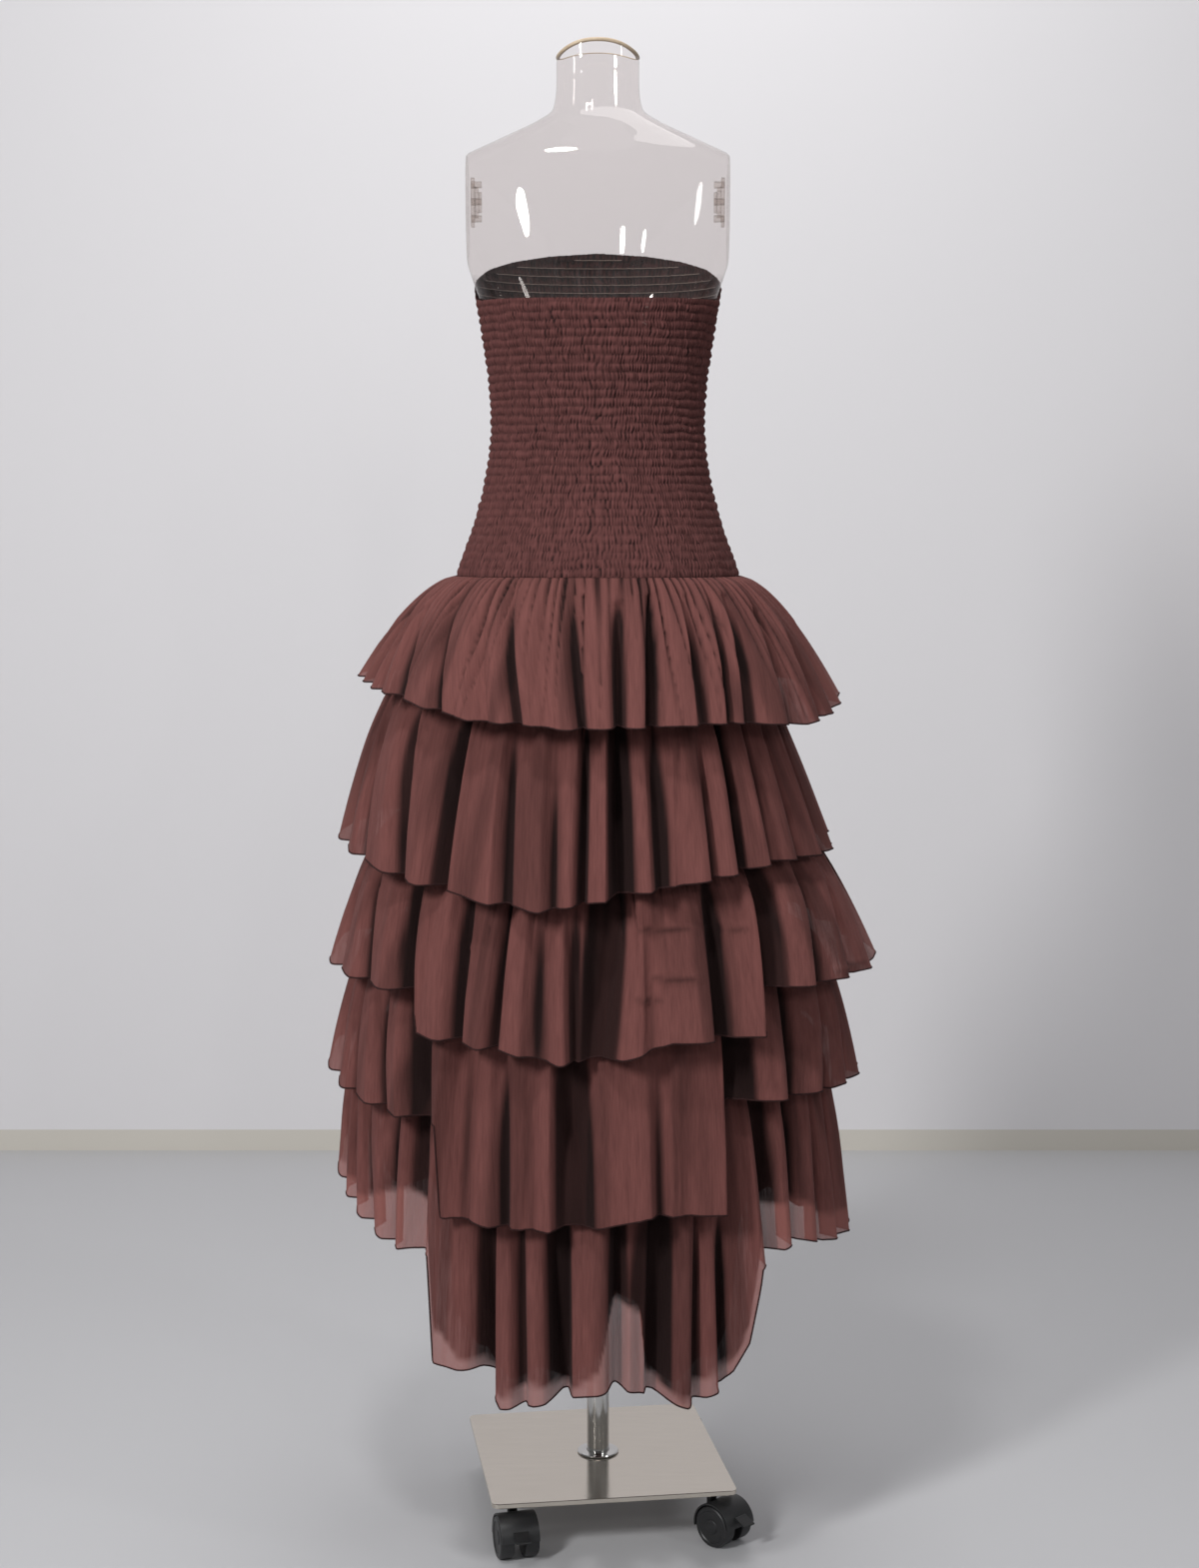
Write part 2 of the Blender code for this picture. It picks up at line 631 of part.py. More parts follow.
pole_foot = PLATE_TOP + SEAM
lathe(
    "pole",
    (
        (POLE_RADIUS, pole_foot),
        (POLE_RADIUS, pole_top - SEAM),
        (POLE_RADIUS - POLE_WALL, pole_top - SEAM),
        (POLE_RADIUS - POLE_WALL, pole_foot),
    ),
    POLE_SIDES,
    "chrome",
)
lathe(
    "pole_flange",
    (
        (POLE_RADIUS + SEAM, pole_foot),
        (FLANGE_RADIUS, pole_foot),
        (FLANGE_RADIUS, pole_foot + FLANGE_THICKNESS / 2),
        (FLANGE_RADIUS - FLANGE_THICKNESS / 2, pole_foot + FLANGE_THICKNESS),
        (POLE_RADIUS + SEAM, pole_foot + FLANGE_THICKNESS),
    ),
    POLE_SIDES,
    "chrome",
)

# Casters: a fixed stem with a nut, a hood that swivels on it, two wheels on one axle and a brake lever.
CASTER_INSET = 0.027
WHEEL_RADIUS = 0.025
WHEEL_WIDTH = 0.017
WHEEL_SIDES = 16
WHEEL_CHAMFER = 0.002
WEB_HALF = 0.0065
WHEEL_GAP = 0.0005
AXLE_RADIUS = 0.003
AXLE_PLAY = 0.0005
TRAIL = 0.020
HOOD_INNER = 0.0264
HOOD_OUTER = 0.0286
HOOD_HALF = 0.0235
HOOD_FROM, HOOD_TO = 5, 190
HOOD_STEPS = 8
WEB_FROM, WEB_TO = 20, 175
WEB_BACK = [(-0.0065, 0.030), (0.0, 0.026)]
AXLE_EYE = 0.007
BOSS_RADIUS = 0.0063
BOSS_BOTTOM = 0.032
BOSS_TOP = 0.0545
BOSS_SIDES = 12
STEM_RADIUS = 0.0055
STEM_SIDES = 6
NUT_RADIUS = 0.0095
NUT_TOP = PLATE_BOTTOM - SEAM
NUT_THICKNESS = 0.005
LEVER_THICKNESS = 0.0025
LEVER_LENGTH = 0.016
LEVER_HALF = 0.009
LEVER_DIP = 25
LEVER_ANGLE = 28
LEVER_END_STEPS = 4

CASTERS = (
    Place("near_left", -1, -1, -75),
    Place("near_right", 1, -1, -45),
    Place("far_left", -1, 1, 20),
    Place("far_right", 1, 1, 72),
)


def prism(outline, half_width):
    """A block with an outline in the X-Z plane, as wide as twice the half width along Y."""
    made = bmesh.new()
    sides = [[made.verts.new((x, y, z)) for x, z in outline] for y in (-half_width, half_width)]
    made.faces.new(sides[0])
    made.faces.new(sides[1])
    for a in range(len(outline)):
        b = (a + 1) % len(outline)
        made.faces.new((sides[0][a], sides[0][b], sides[1][b], sides[1][a]))
    return made


def helper(name, bm):
    node = add_node(name, bm, "black_nylon", smooth=False)
    node.hide_render = True
    node.display_type = "WIRE"
    return node


def join_with(node, other, operation):
    modifier = node.modifiers.new(other.name, "BOOLEAN")
    modifier.operation = operation
    modifier.solver = "EXACT"
    modifier.object = other


def arc(radius, start, end, steps):
    points = []
    for step in range(steps + 1):
        turn = math.radians(start + (end - start) * step / steps)
        points.append((TRAIL + radius * math.cos(turn), WHEEL_RADIUS + radius * math.sin(turn)))
    return points


def cylinder(radius, depth, sides, matrix):
    made = bmesh.new()
    bmesh.ops.create_cone(
        made, cap_ends=True, segments=sides, radius1=radius, radius2=radius, depth=depth, matrix=matrix
    )
    return made


def wheel_pair(name):
    """Two wheels on one axle, turned about Y at the origin, with a flat of each wheel facing down."""
    rim_radius = WHEEL_RADIUS / math.cos(math.pi / WHEEL_SIDES)
    near, far = WEB_HALF + WHEEL_GAP, WEB_HALF + WHEEL_GAP + WHEEL_WIDTH
    wheel = [(near, rim_radius), (far - WHEEL_CHAMFER, rim_radius), (far, rim_radius - WHEEL_CHAMFER)]
    bm = bmesh.new()
    axle_rings = {}
    for side in (-1, 1):
        rings = [(near, AXLE_RADIUS)] + wheel
        made = []
        for along, radius in rings:
            ring = []
            for step in range(WHEEL_SIDES):
                turn = math.tau * (step + 0.5) / WHEEL_SIDES - math.pi / 2
                place = (radius * math.cos(turn), side * along, radius * math.sin(turn))
                ring.append(bm.verts.new(place))
            made.append(ring)
        for low, high in zip(made, made[1:]):
            for j in range(WHEEL_SIDES):
                k = (j + 1) % WHEEL_SIDES
                bm.faces.new((low[j], low[k], high[k], high[j]))
        bm.faces.new(made[-1])
        axle_rings[side] = made[0]
    for j in range(WHEEL_SIDES):
        k = (j + 1) % WHEEL_SIDES
        bm.faces.new((axle_rings[-1][j], axle_rings[-1][k], axle_rings[1][k], axle_rings[1][j]))
    return add_node(name, bm, "black_nylon", smooth=False)


for place in CASTERS:
    plate_turn = Matrix.Rotation(math.radians(PLATE_TURN), 4, "Z")
    inset = PLATE_SIDE / 2 - CASTER_INSET
    foot = plate_turn @ Vector((place.side * inset, place.row * inset, 0))
    swivel = Matrix.Translation(foot) @ Matrix.Rotation(math.radians(place.trail), 4, "Z")
    caster = "caster_" + place.name

    stem_bottom = BOSS_TOP + SEAM
    stem = lathe(
        caster + "_stem",
        (
            (0, stem_bottom),
            (STEM_RADIUS, stem_bottom),
            (STEM_RADIUS, NUT_TOP - NUT_THICKNESS),
            (NUT_RADIUS, NUT_TOP - NUT_THICKNESS),
            (NUT_RADIUS, NUT_TOP),
            (0, NUT_TOP),
        ),
        STEM_SIDES,
        "zinc",
        foot,
    )
    stem.data.shade_flat()

    hood_outline = arc(HOOD_OUTER, HOOD_FROM, HOOD_TO, HOOD_STEPS)
    hood_outline += arc(HOOD_INNER, HOOD_TO, HOOD_FROM, HOOD_STEPS)
    hood = add_node(
        caster + "_hood",
        prism(hood_outline, HOOD_HALF),
        "black_nylon",
        smooth=False,
    )
    web_outline = [(TRAIL, WHEEL_RADIUS - AXLE_EYE), (TRAIL + AXLE_EYE, WHEEL_RADIUS)]
    web_outline += arc((HOOD_INNER + HOOD_OUTER) / 2, WEB_FROM, WEB_TO, HOOD_STEPS)
    web_outline += WEB_BACK
    web = helper(caster + "_web", prism(web_outline, WEB_HALF))
    boss_height = BOSS_TOP - BOSS_BOTTOM
    boss_at = Matrix.Translation((0, 0, BOSS_BOTTOM + boss_height / 2))
    boss = helper(caster + "_boss", cylinder(BOSS_RADIUS, boss_height, BOSS_SIDES, boss_at))
    bore_turn = Matrix.Translation((TRAIL, 0, WHEEL_RADIUS)) @ Matrix.Rotation(math.pi / 2, 4, "X")
    bore = helper(caster + "_bore", cylinder(AXLE_RADIUS + AXLE_PLAY, WEB_HALF * 4, BOSS_SIDES, bore_turn))
    join_with(hood, web, "UNION")
    join_with(hood, boss, "UNION")
    join_with(hood, bore, "DIFFERENCE")
    for piece in (hood, web, boss, bore):
        piece.matrix_world = swivel

    wheels = wheel_pair(caster + "_wheels")
    wheels.matrix_world = swivel @ Matrix.Translation((TRAIL, 0, WHEEL_RADIUS))

    half = LEVER_THICKNESS / 2
    lever_outline = []
    for step in range(LEVER_END_STEPS + 1):
        turn = math.radians(90 + 180 * step / LEVER_END_STEPS)
        lever_outline.append((half * math.cos(turn), half * math.sin(turn)))
    lever_outline += [(LEVER_LENGTH, -half), (LEVER_LENGTH + half, 0), (LEVER_LENGTH, half)]
    lever = add_node(caster + "_lever", prism(lever_outline, LEVER_HALF), "black_nylon", smooth=False)
    hold = HOOD_OUTER + half + SEAM
    lean = math.radians(LEVER_ANGLE)
    pivot = (TRAIL + hold * math.cos(lean), 0, WHEEL_RADIUS + hold * math.sin(lean))
    dip = Matrix.Rotation(math.radians(LEVER_DIP), 4, "Y")
    lever.matrix_world = swivel @ Matrix.Translation(pivot) @ dip
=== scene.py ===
import math
from collections import namedtuple

import bmesh
import bpy
from mathutils import Matrix, Vector, noise


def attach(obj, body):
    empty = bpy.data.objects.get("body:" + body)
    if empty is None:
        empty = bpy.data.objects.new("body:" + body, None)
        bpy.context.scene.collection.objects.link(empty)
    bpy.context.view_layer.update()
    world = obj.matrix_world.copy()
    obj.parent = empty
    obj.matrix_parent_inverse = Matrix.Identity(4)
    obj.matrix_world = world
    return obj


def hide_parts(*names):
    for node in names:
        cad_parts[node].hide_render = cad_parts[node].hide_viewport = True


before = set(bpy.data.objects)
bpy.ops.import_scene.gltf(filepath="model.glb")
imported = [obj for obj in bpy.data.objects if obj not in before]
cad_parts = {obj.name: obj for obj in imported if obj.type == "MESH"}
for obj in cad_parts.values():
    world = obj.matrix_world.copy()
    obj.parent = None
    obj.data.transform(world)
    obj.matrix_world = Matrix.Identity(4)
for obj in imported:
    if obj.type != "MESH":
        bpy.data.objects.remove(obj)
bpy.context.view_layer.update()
scene = bpy.context.scene
scene.view_settings.view_transform = "Standard"
STAND = "dress_and_stand"

# Plate
# A square sheet of 6 mm steel, mirror-polished and a little scuffed. Its corners are rounded and its edges
# eased, and the pole stands in its middle.
PLATE_BOTTOM = 0.062
PLATE_THICKNESS = 0.006
PLATE_TOP = 0.068
PLATE_SIDE = 0.300
PLATE_CORNER = 0.010
PLATE_EASING = 0.0008
PLATE_TURN = 8.4
CORNER_STEPS = 8


def colour(hex_code):
    """A hex colour as Blender's linear red, green, blue and alpha."""
    shares = [int(hex_code[start : start + 2], 16) / 255 for start in (1, 3, 5)]
    linear = [s / 12.92 if s <= 0.04045 else ((s + 0.055) / 1.055) ** 2.4 for s in shares]
    return (*linear, 1.0)


def node(material, kind, inputs, **properties):
    """Adds a shader node. An input takes a value, or another node's output to link."""
    made = material.node_tree.nodes.new("ShaderNode" + kind)
    for name, value in properties.items():
        setattr(made, name, value)
    for name, value in inputs.items():
        if isinstance(value, bpy.types.NodeSocket):
            material.node_tree.links.new(value, made.inputs[name])
        else:
            made.inputs[name].default_value = value
    return made


def new_material(name):
    material = bpy.data.materials.new(name)
    material.use_nodes = True
    material.node_tree.nodes.clear()
    return material


def finish_material(material, shader):
    node(material, "OutputMaterial", {"Surface": shader.outputs[0]})
    return material


Bumps = namedtuple("Bumps", "scale detail strength height")


def grained(material, scale, detail=2.0, tones=(), roughs=(), bumps=None, stretch=None, fixed=()):
    """A shader with a fine grain in the object's own metres, along which its tone or roughness runs between
    two values. Fixed holds what stays the same all over."""
    place = node(material, "TexCoord", {}).outputs["Object"]
    if stretch:
        place = node(material, "VectorMath", {0: place, 1: stretch}, operation="MULTIPLY").outputs[0]
    grain = {"Vector": place, "Scale": scale, "Detail": detail}
    grain = node(material, "TexNoise", grain).outputs["Fac"]
    inputs = dict(fixed)
    if tones:
        ends = {0: grain, 6: colour(tones[0]), 7: colour(tones[1])}
        inputs["Base Color"] = node(material, "Mix", ends, data_type="RGBA").outputs[2]
    if roughs:
        ends = {"Value": grain, "To Min": roughs[0], "To Max": roughs[1]}
        inputs["Roughness"] = node(material, "MapRange", ends).outputs[0]
    if bumps:
        rise = {"Vector": place, "Scale": bumps.scale, "Detail": bumps.detail}
        rise = node(material, "TexNoise", rise).outputs["Fac"]
        rise = {"Height": rise, "Strength": bumps.strength, "Distance": bumps.height}
        inputs["Normal"] = node(material, "Bump", rise).outputs[0]
    return node(material, "BsdfPrincipled", inputs)


def grained_material(name, scale, **looks):
    material = new_material(name)
    return finish_material(material, grained(material, scale, **looks))


# Polished steel: it mirrors the room a little blurred, in smears that run with the polishing.
steel = grained_material(
    "polished_steel",
    scale=3.0,
    detail=5.0,
    tones=("#C9C1B6", "#D6CEC3"),
    roughs=(0.08, 0.2),
    stretch=(6, 60, 6),
    fixed={"Metallic": 1.0},
)


def mesh_piece(name, mesh, material, body, replaces=()):
    """Puts a mesh in the scene, with its material, the body it moves with and the CAD nodes it replaces."""
    mesh.materials.append(material)
    piece = bpy.data.objects.new(name, mesh)
    scene.collection.objects.link(piece)
    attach(piece, body)
    if replaces:
        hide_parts(*replaces)
    return piece


def paint(node_name, material):
    """Gives a material to a CAD node that is shown as it is."""
    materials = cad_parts[node_name].data.materials
    materials.clear()
    materials.append(material)


def thicken(bm, face, shift):
    """Extrudes a face into a slab."""
    raised = bmesh.ops.extrude_face_region(bm, geom=[face])["geom"]
    bmesh.ops.translate(bm, verts=[v for v in raised if isinstance(v, bmesh.types.BMVert)], vec=shift)
    bmesh.ops.recalc_face_normals(bm, faces=bm.faces)


def finished_mesh(name, bm, crisp_from=None):
    """The mesh that was built. It looks smooth, but for edges that turn by more than crisp_from degrees."""
    mesh = bpy.data.meshes.new(name)
    bm.to_mesh(mesh)
    bm.free()
    if crisp_from is not None:
        mesh.shade_smooth()
        mesh.set_sharp_from_angle(angle=math.radians(crisp_from))
    return mesh


bm = bmesh.new()
outline = []
for corner in range(4):
    middle = PLATE_SIDE / 2 - PLATE_CORNER
    across = math.radians(90 * corner + 45)
    centre = Vector((math.cos(across), math.sin(across), 0)) * middle * math.sqrt(2)
    for step in range(CORNER_STEPS + 1):
        turn = math.radians(90 * corner + 90 * step / CORNER_STEPS)
        point = centre + Vector((math.cos(turn), math.sin(turn), 0)) * PLATE_CORNER
        outline.append(bm.verts.new((point.x, point.y, PLATE_BOTTOM)))
thicken(bm, bm.faces.new(outline), (0, 0, PLATE_THICKNESS))
flat_edges = [e for e in bm.edges if abs(e.verts[0].co.z - e.verts[1].co.z) < PLATE_THICKNESS / 2]
bmesh.ops.bevel(bm, geom=flat_edges, offset=PLATE_EASING, segments=2, profile=0.6, affect="EDGES")
bm.transform(Matrix.Rotation(math.radians(PLATE_TURN), 4, "Z"))
mesh_piece("stand_plate", finished_mesh("stand_plate", bm), steel, STAND, ["base_plate"])

# Casters
# Black nylon twin-wheel furniture casters. Each hood swivels on a zinc-plated stem, and its brake lever is
# pressed down by foot.
CASTER_INSET = 0.027
TRAIL = 0.020
WHEEL_RADIUS = 0.025
HOOD_INNER = 0.0264
HOOD_OUTER = 0.0286
HOOD_HALF = 0.0235
HOOD_EASING = 0.0007
HOOD_STEPS = 32
WEB_RADIUS = 0.0268
WEB_HALF = 0.0064
WEB_STEPS = 24
WEB_FOOT = [(-0.0062, 0.030), (0.0, 0.026), (TRAIL, 0.0206), (TRAIL + 0.0044, 0.0250)]
BOSS_MIDDLE = 0.0433
BOSS = {"radius1": 0.0066, "radius2": 0.0060, "depth": 0.0222}
Caster = namedtuple("Caster", "name side row trail")
CASTERS = (
    Caster("near_left", -1, -1, -75),
    Caster("near_right", 1, -1, -45),
    Caster("far_left", -1, 1, 20),
    Caster("far_right", 1, 1, 72),
)
WHEEL_PROFILE = (
    (0.0030, 0.0070), (0.0242, 0.0070), (0.0250, 0.0078), (0.0250, 0.0216), (0.0245, 0.0230),
    (0.0232, 0.0239), (0.0200, 0.0240), (0.0188, 0.0230), (0.0090, 0.0224), (0.0080, 0.0236),
    (0.0040, 0.0240), (0.0, 0.0240),
)
TURNED_SIDES = 64
SAME_POINT = 0.00001
nylon = grained_material(
    "black_nylon",
    scale=60.0,
    detail=4.0,
    tones=("#161617", "#2B2B2C"),
    bumps=Bumps(900.0, 2.0, 0.25, 0.0004),
    fixed={"Roughness": 0.42},
)
zinc_looks = {"Base Color": colour("#8E9092"), "Metallic": 1.0}
zinc = grained_material("zinc", 140.0, detail=3.0, roughs=(0.25, 0.5), fixed=zinc_looks)


def turned_mesh(name, profile, matrix=Matrix()):
    """A turned part. Its profile is rows of radius and height, and flat steps in it stay crisp."""
    bm = bmesh.new()
    corners = [bm.verts.new((radius, 0, height)) for radius, height in profile]
    edges = [bm.edges.new(pair) for pair in zip(corners, corners[1:])]
    bmesh.ops.spin(
        bm,
        geom=corners + edges,
        cent=(0, 0, 0),
        axis=(0, 0, 1),
        angle=math.tau,
        steps=TURNED_SIDES,
        use_merge=True,
        use_duplicate=False,
    )
    bmesh.ops.remove_doubles(bm, verts=bm.verts, dist=SAME_POINT)
    bmesh.ops.recalc_face_normals(bm, faces=bm.faces)
    bm.transform(matrix)
    return finished_mesh(name, bm, crisp_from=30)


def slab(bm, outline, half):
    """A slab between two planes across Y, from the outline of its side."""
    side = bm.faces.new([bm.verts.new((x, -half, z)) for x, z in outline])
    thicken(bm, side, (0, 2 * half, 0))


def arc(radius, first, last, steps):
    """Points round the axle, on the caster's side view, between two angles."""
    turns = [math.radians(first + (last - first) * step / steps) for step in range(steps + 1)]
    return [(TRAIL + radius * math.cos(turn), WHEEL_RADIUS + radius * math.sin(turn)) for turn in turns]


def hood_mesh(name, matrix):
    """The hood's arched cover over the wheels, with the web between them and the stem's boss."""
    bm = bmesh.new()
    outer, inner = (arc(radius, 5, 190, HOOD_STEPS) for radius in (HOOD_OUTER, HOOD_INNER))
    slab(bm, outer + inner[::-1], HOOD_HALF)
    rims = [e for e in bm.edges if abs(e.verts[0].co.y - e.verts[1].co.y) < HOOD_HALF]
    bmesh.ops.bevel(bm, geom=rims, offset=HOOD_EASING, segments=2, profile=0.6, affect="EDGES")
    slab(bm, arc(WEB_RADIUS, 20, 175, WEB_STEPS) + WEB_FOOT, WEB_HALF)
    place = Matrix.Translation((0, 0, BOSS_MIDDLE))
    bmesh.ops.create_cone(bm, cap_ends=True, segments=32, matrix=place, **BOSS)
    bmesh.ops.recalc_face_normals(bm, faces=bm.faces)
    bm.transform(matrix)
    return finished_mesh(name, bm, crisp_from=35)


for caster in CASTERS:
    inset = PLATE_SIDE / 2 - CASTER_INSET
    foot = Vector((caster.side * inset, caster.row * inset, 0))
    foot = Matrix.Rotation(math.radians(PLATE_TURN), 4, "Z") @ foot
    swivel = Matrix.Translation(foot) @ Matrix.Rotation(math.radians(caster.trail), 4, "Z")
    prefix = "caster_" + caster.name
    cover = hood_mesh(prefix + "_cover", swivel)
    mesh_piece(cover.name, cover, nylon, caster.name + "_swivel", [prefix + "_hood"])
    axle = swivel @ Matrix.Translation((TRAIL, 0, WHEEL_RADIUS))
    for side, turn in (("outer", -90), ("inner", 90)):
        name = prefix + "_wheel_" + side
        wheel = turned_mesh(name, WHEEL_PROFILE, axle @ Matrix.Rotation(math.radians(turn), 4, "X"))
        mesh_piece(name, wheel, nylon, caster.name + "_wheel_pair", [prefix + "_wheels"])
    paint(prefix + "_stem", zinc)
    paint(prefix + "_lever", nylon)

# Pole
# A bright chromed steel tube, from the plate up into the socket of the form's base. A pressed flange covers
# its foot, and a collar with a clamp stops the form from sliding down.
POLE_RADIUS = 0.014
POLE_TOP = 1.0447
PLATE_GAP = 0.0003
POLE_BORE = 0.0125
chrome_looks = {"Base Color": colour("#C9C8C6"), "Metallic": 1.0}
chrome = grained_material("chrome", 35.0, detail=4.0, roughs=(0.06, 0.2), fixed=chrome_looks)
paint("pole_collar", chrome)
pole_profile = (
    (POLE_BORE, PLATE_TOP + PLATE_GAP),
    (POLE_RADIUS, PLATE_TOP + PLATE_GAP),
    (POLE_RADIUS, POLE_TOP),
    (POLE_BORE, POLE_TOP),
    (POLE_BORE, PLATE_TOP + PLATE_GAP),
)
mesh_piece("pole_tube", turned_mesh("pole_tube", pole_profile), chrome, STAND, ["pole"])
flange_profile = (
    (0.0143, 0.0683), (0.0254, 0.0683), (0.0260, 0.0688), (0.0260, 0.0699), (0.0254, 0.0708),
    (0.0200, 0.0716), (0.0170, 0.0723), (0.0152, 0.0723), (0.0143, 0.0720), (0.0143, 0.0683),
)
mesh_piece("pole_foot", turned_mesh("pole_foot", flange_profile), chrome, STAND, ["pole_flange"])

# Torso form
# A clear torso, blown from one sheet of plastic, with a cut neck and two flat arm faces. It carries the
# dress and stands with its base on the pole.
Section = namedtuple("Section", "height half_width back front")


def sections(*rows):
    """Level sections, lowest first: their height, half their width and their reach back and front, in mm."""
    return [Section(*(size / 1000 for size in row)) for row in rows]


TORSO = sections(
    (1050, 169, 119, 110), (1110, 174.5, 126, 112), (1174, 168.5, 124, 109), (1231, 148.5, 108, 103),
    (1285, 133.5, 93, 98), (1345, 124.5, 84, 94), (1400, 126.5, 85, 101), (1445, 132.5, 92, 114),
    (1500, 141.5, 99, 125), (1555, 159, 102, 121), (1620, 170, 98, 102), (1668, 166, 85, 76),
    (1690, 124, 74, 61), (1712, 76, 63, 52), (1728, 54, 52, 46), (1789, 49, 44, 44),
)
TORSO_SQUARENESS = 2.3
ARM_CUT = 0.1565
ARM_CUT_LOWEST = 1.5
NECK_RISE = 0.014
NECK_TOP = TORSO[-1].height
FORM_COLUMNS = 128
FORM_ROWS = 150


def smooth_between(rows, column, at, value):
    """The value at a place, on a smooth curve through the rows of a table sorted by a column."""
    places = [getattr(row, column) for row in rows]
    values = [getattr(row, value) for row in rows]
    at = min(max(at, places[0]), places[-1])
    i = max(k for k in range(len(rows) - 1) if places[k] <= at)
    slopes = []
    for k in (i, i + 1):
        a, b = max(k - 1, 0), min(k + 1, len(rows) - 1)
        slopes.append((values[b] - values[a]) / (places[b] - places[a]))
    gap = places[i + 1] - places[i]
    t = (at - places[i]) / gap
    start = values[i] * (2 * t**3 - 3 * t**2 + 1) + slopes[0] * gap * (t**3 - 2 * t**2 + t)
    return start + values[i + 1] * (3 * t**2 - 2 * t**3) + slopes[1] * gap * (t**3 - t**2)


def section_point(rows, curve, squareness, height, angle, out):
    """A point on the rounded section at a height. Squareness is 2 for an oval, and more is fuller."""
    turn = math.radians(angle)
    side, fore = math.sin(turn), -math.cos(turn)
    power = 2 / squareness
    half_width = curve(rows, "height", height, "half_width") + out
    depth = curve(rows, "height", height, "back" if fore < 0 else "front") + out
    x = math.copysign(abs(side) ** power, side) * half_width
    return Vector((x, math.copysign(abs(fore) ** power, fore) * depth, height))


def torso_point(height, angle, out):
    """A point on the torso at a height and angle, moved out by a distance."""
    point = section_point(TORSO, smooth_between, TORSO_SQUARENESS, height, angle, out)
    if height > ARM_CUT_LOWEST:
        point.x = max(-ARM_CUT - out, min(ARM_CUT + out, point.x))
    return point


def neck_ring(out):
    """The neck's cut edge, a saddle that is lowest at the sides."""
    ring = []
    for column in range(FORM_COLUMNS):
        angle = 360 * column / FORM_COLUMNS
        point = torso_point(NECK_TOP, angle, out)
        point.z += NECK_RISE * math.cos(math.radians(angle)) ** 2
        ring.append(point)
    return ring


# Clear plastic: it mirrors like glass by its own angle, and its walls look greyer where they are seen
# edge-on.
clear_plastic = new_material("clear_plastic")
haze_place = node(clear_plastic, "TexCoord", {}).outputs["Object"]
haze = node(clear_plastic, "TexNoise", {"Vector": haze_place, "Scale": 9.0, "Detail": 2.0})
haze = {"Height": haze.outputs["Fac"], "Strength": 0.10, "Distance": 0.01}
haze_bump = node(clear_plastic, "Bump", haze).outputs[0]
through = node(clear_plastic, "BsdfTransparent", {"Color": colour("#F8F5F4")})
body_looks = {"Base Color": colour("#8E8987"), "Roughness": 0.35, "Specular IOR Level": 0.3}
body = node(clear_plastic, "BsdfPrincipled", body_looks)
mirror_looks = {"Base Color": colour("#E4E2E0"), "Metallic": 1.0, "Roughness": 0.03, "Normal": haze_bump}
mirror = node(clear_plastic, "BsdfPrincipled", mirror_looks)


def rise_to_edge(inputs, power, low, high):
    """A share that rises from low, where the wall is seen square on, to high, where it is seen edge-on."""
    facing = node(clear_plastic, "LayerWeight", {"Blend": 0.5, **inputs}).outputs["Facing"]
    risen = node(clear_plastic, "Math", {0: facing, 1: power}, operation="POWER").outputs[0]
    ends = {"Value": risen, "To Min": low, "To Max": high}
    return node(clear_plastic, "MapRange", ends).outputs[0]


edge_share = rise_to_edge({}, 14.0, 0.015, 0.75)
wall = node(clear_plastic, "MixShader", {0: edge_share, 1: through.outputs[0], 2: body.outputs[0]})
mirror_share = rise_to_edge({"Normal": haze_bump}, 5.0, 0.05, 0.5)
clear_ends = {0: mirror_share, 1: wall.outputs[0], 2: mirror.outputs[0]}
finish_material(clear_plastic, node(clear_plastic, "MixShader", clear_ends))


def sheet_mesh(name, points, marks=(), closed=False, painted_shades=(), sheers=()):
    """A smooth sheet through rows of points. Marks give each point's place on the flat cloth in metres. The
    last two lists give, from 0 to 1, how far painted shade darkens each point, and how sheer it is, where a
    lighter tone is painted in for the light that shines through."""
    count = len(points[0])
    faces = []
    for i in range(len(points) - 1):
        for j in range(count - (not closed)):
            k = (j + 1) % count
            faces.append((i * count + j, i * count + k, (i + 1) * count + k, (i + 1) * count + j))
    mesh = bpy.data.meshes.new(name)
    mesh.from_pydata([point for row in points for point in row], [], faces)
    if marks:
        flat = [mark for row in marks for mark in row]
        layer = mesh.uv_layers.new(name="cloth")
        for loop, place in zip(mesh.loops, layer.data):
            place.uv = flat[loop.vertex_index]
    for layer_name, rows_of_values in (("painted_shade", painted_shades), ("sheer", sheers)):
        if rows_of_values:
            values = [value for row in rows_of_values for value in row]
            mesh.attributes.new(layer_name, "FLOAT", "POINT").data.foreach_set("value", values)
    mesh.shade_smooth()
    return mesh


rows = []
for row in range(FORM_ROWS + 1):
    height = TORSO[0].height + (NECK_TOP - TORSO[0].height) * row / FORM_ROWS
    rows.append([torso_point(height, 360 * column / FORM_COLUMNS, 0) for column in range(FORM_COLUMNS)])
rows[-1] = neck_ring(0)
skin = sheet_mesh("form_skin", rows, closed=True)
mesh_piece("form_skin", skin, clear_plastic, STAND, ["form_shell"])
paint("form_base", clear_plastic)

# Neck edge
# The form's neck is sawn off level at the sides and higher at the back and front. The cut is left
# unpolished, so it looks tan and dull.
RIM_BEAD = 0.0024
FAR_RIM_BEAD = 0.0006
RIM_SIDES = 10
cut_tones = ("#A08C74", "#C9B79E")
cut_edge = grained_material("cut_plastic_edge", 160.0, detail=3.0, tones=cut_tones, fixed={"Roughness": 0.5})


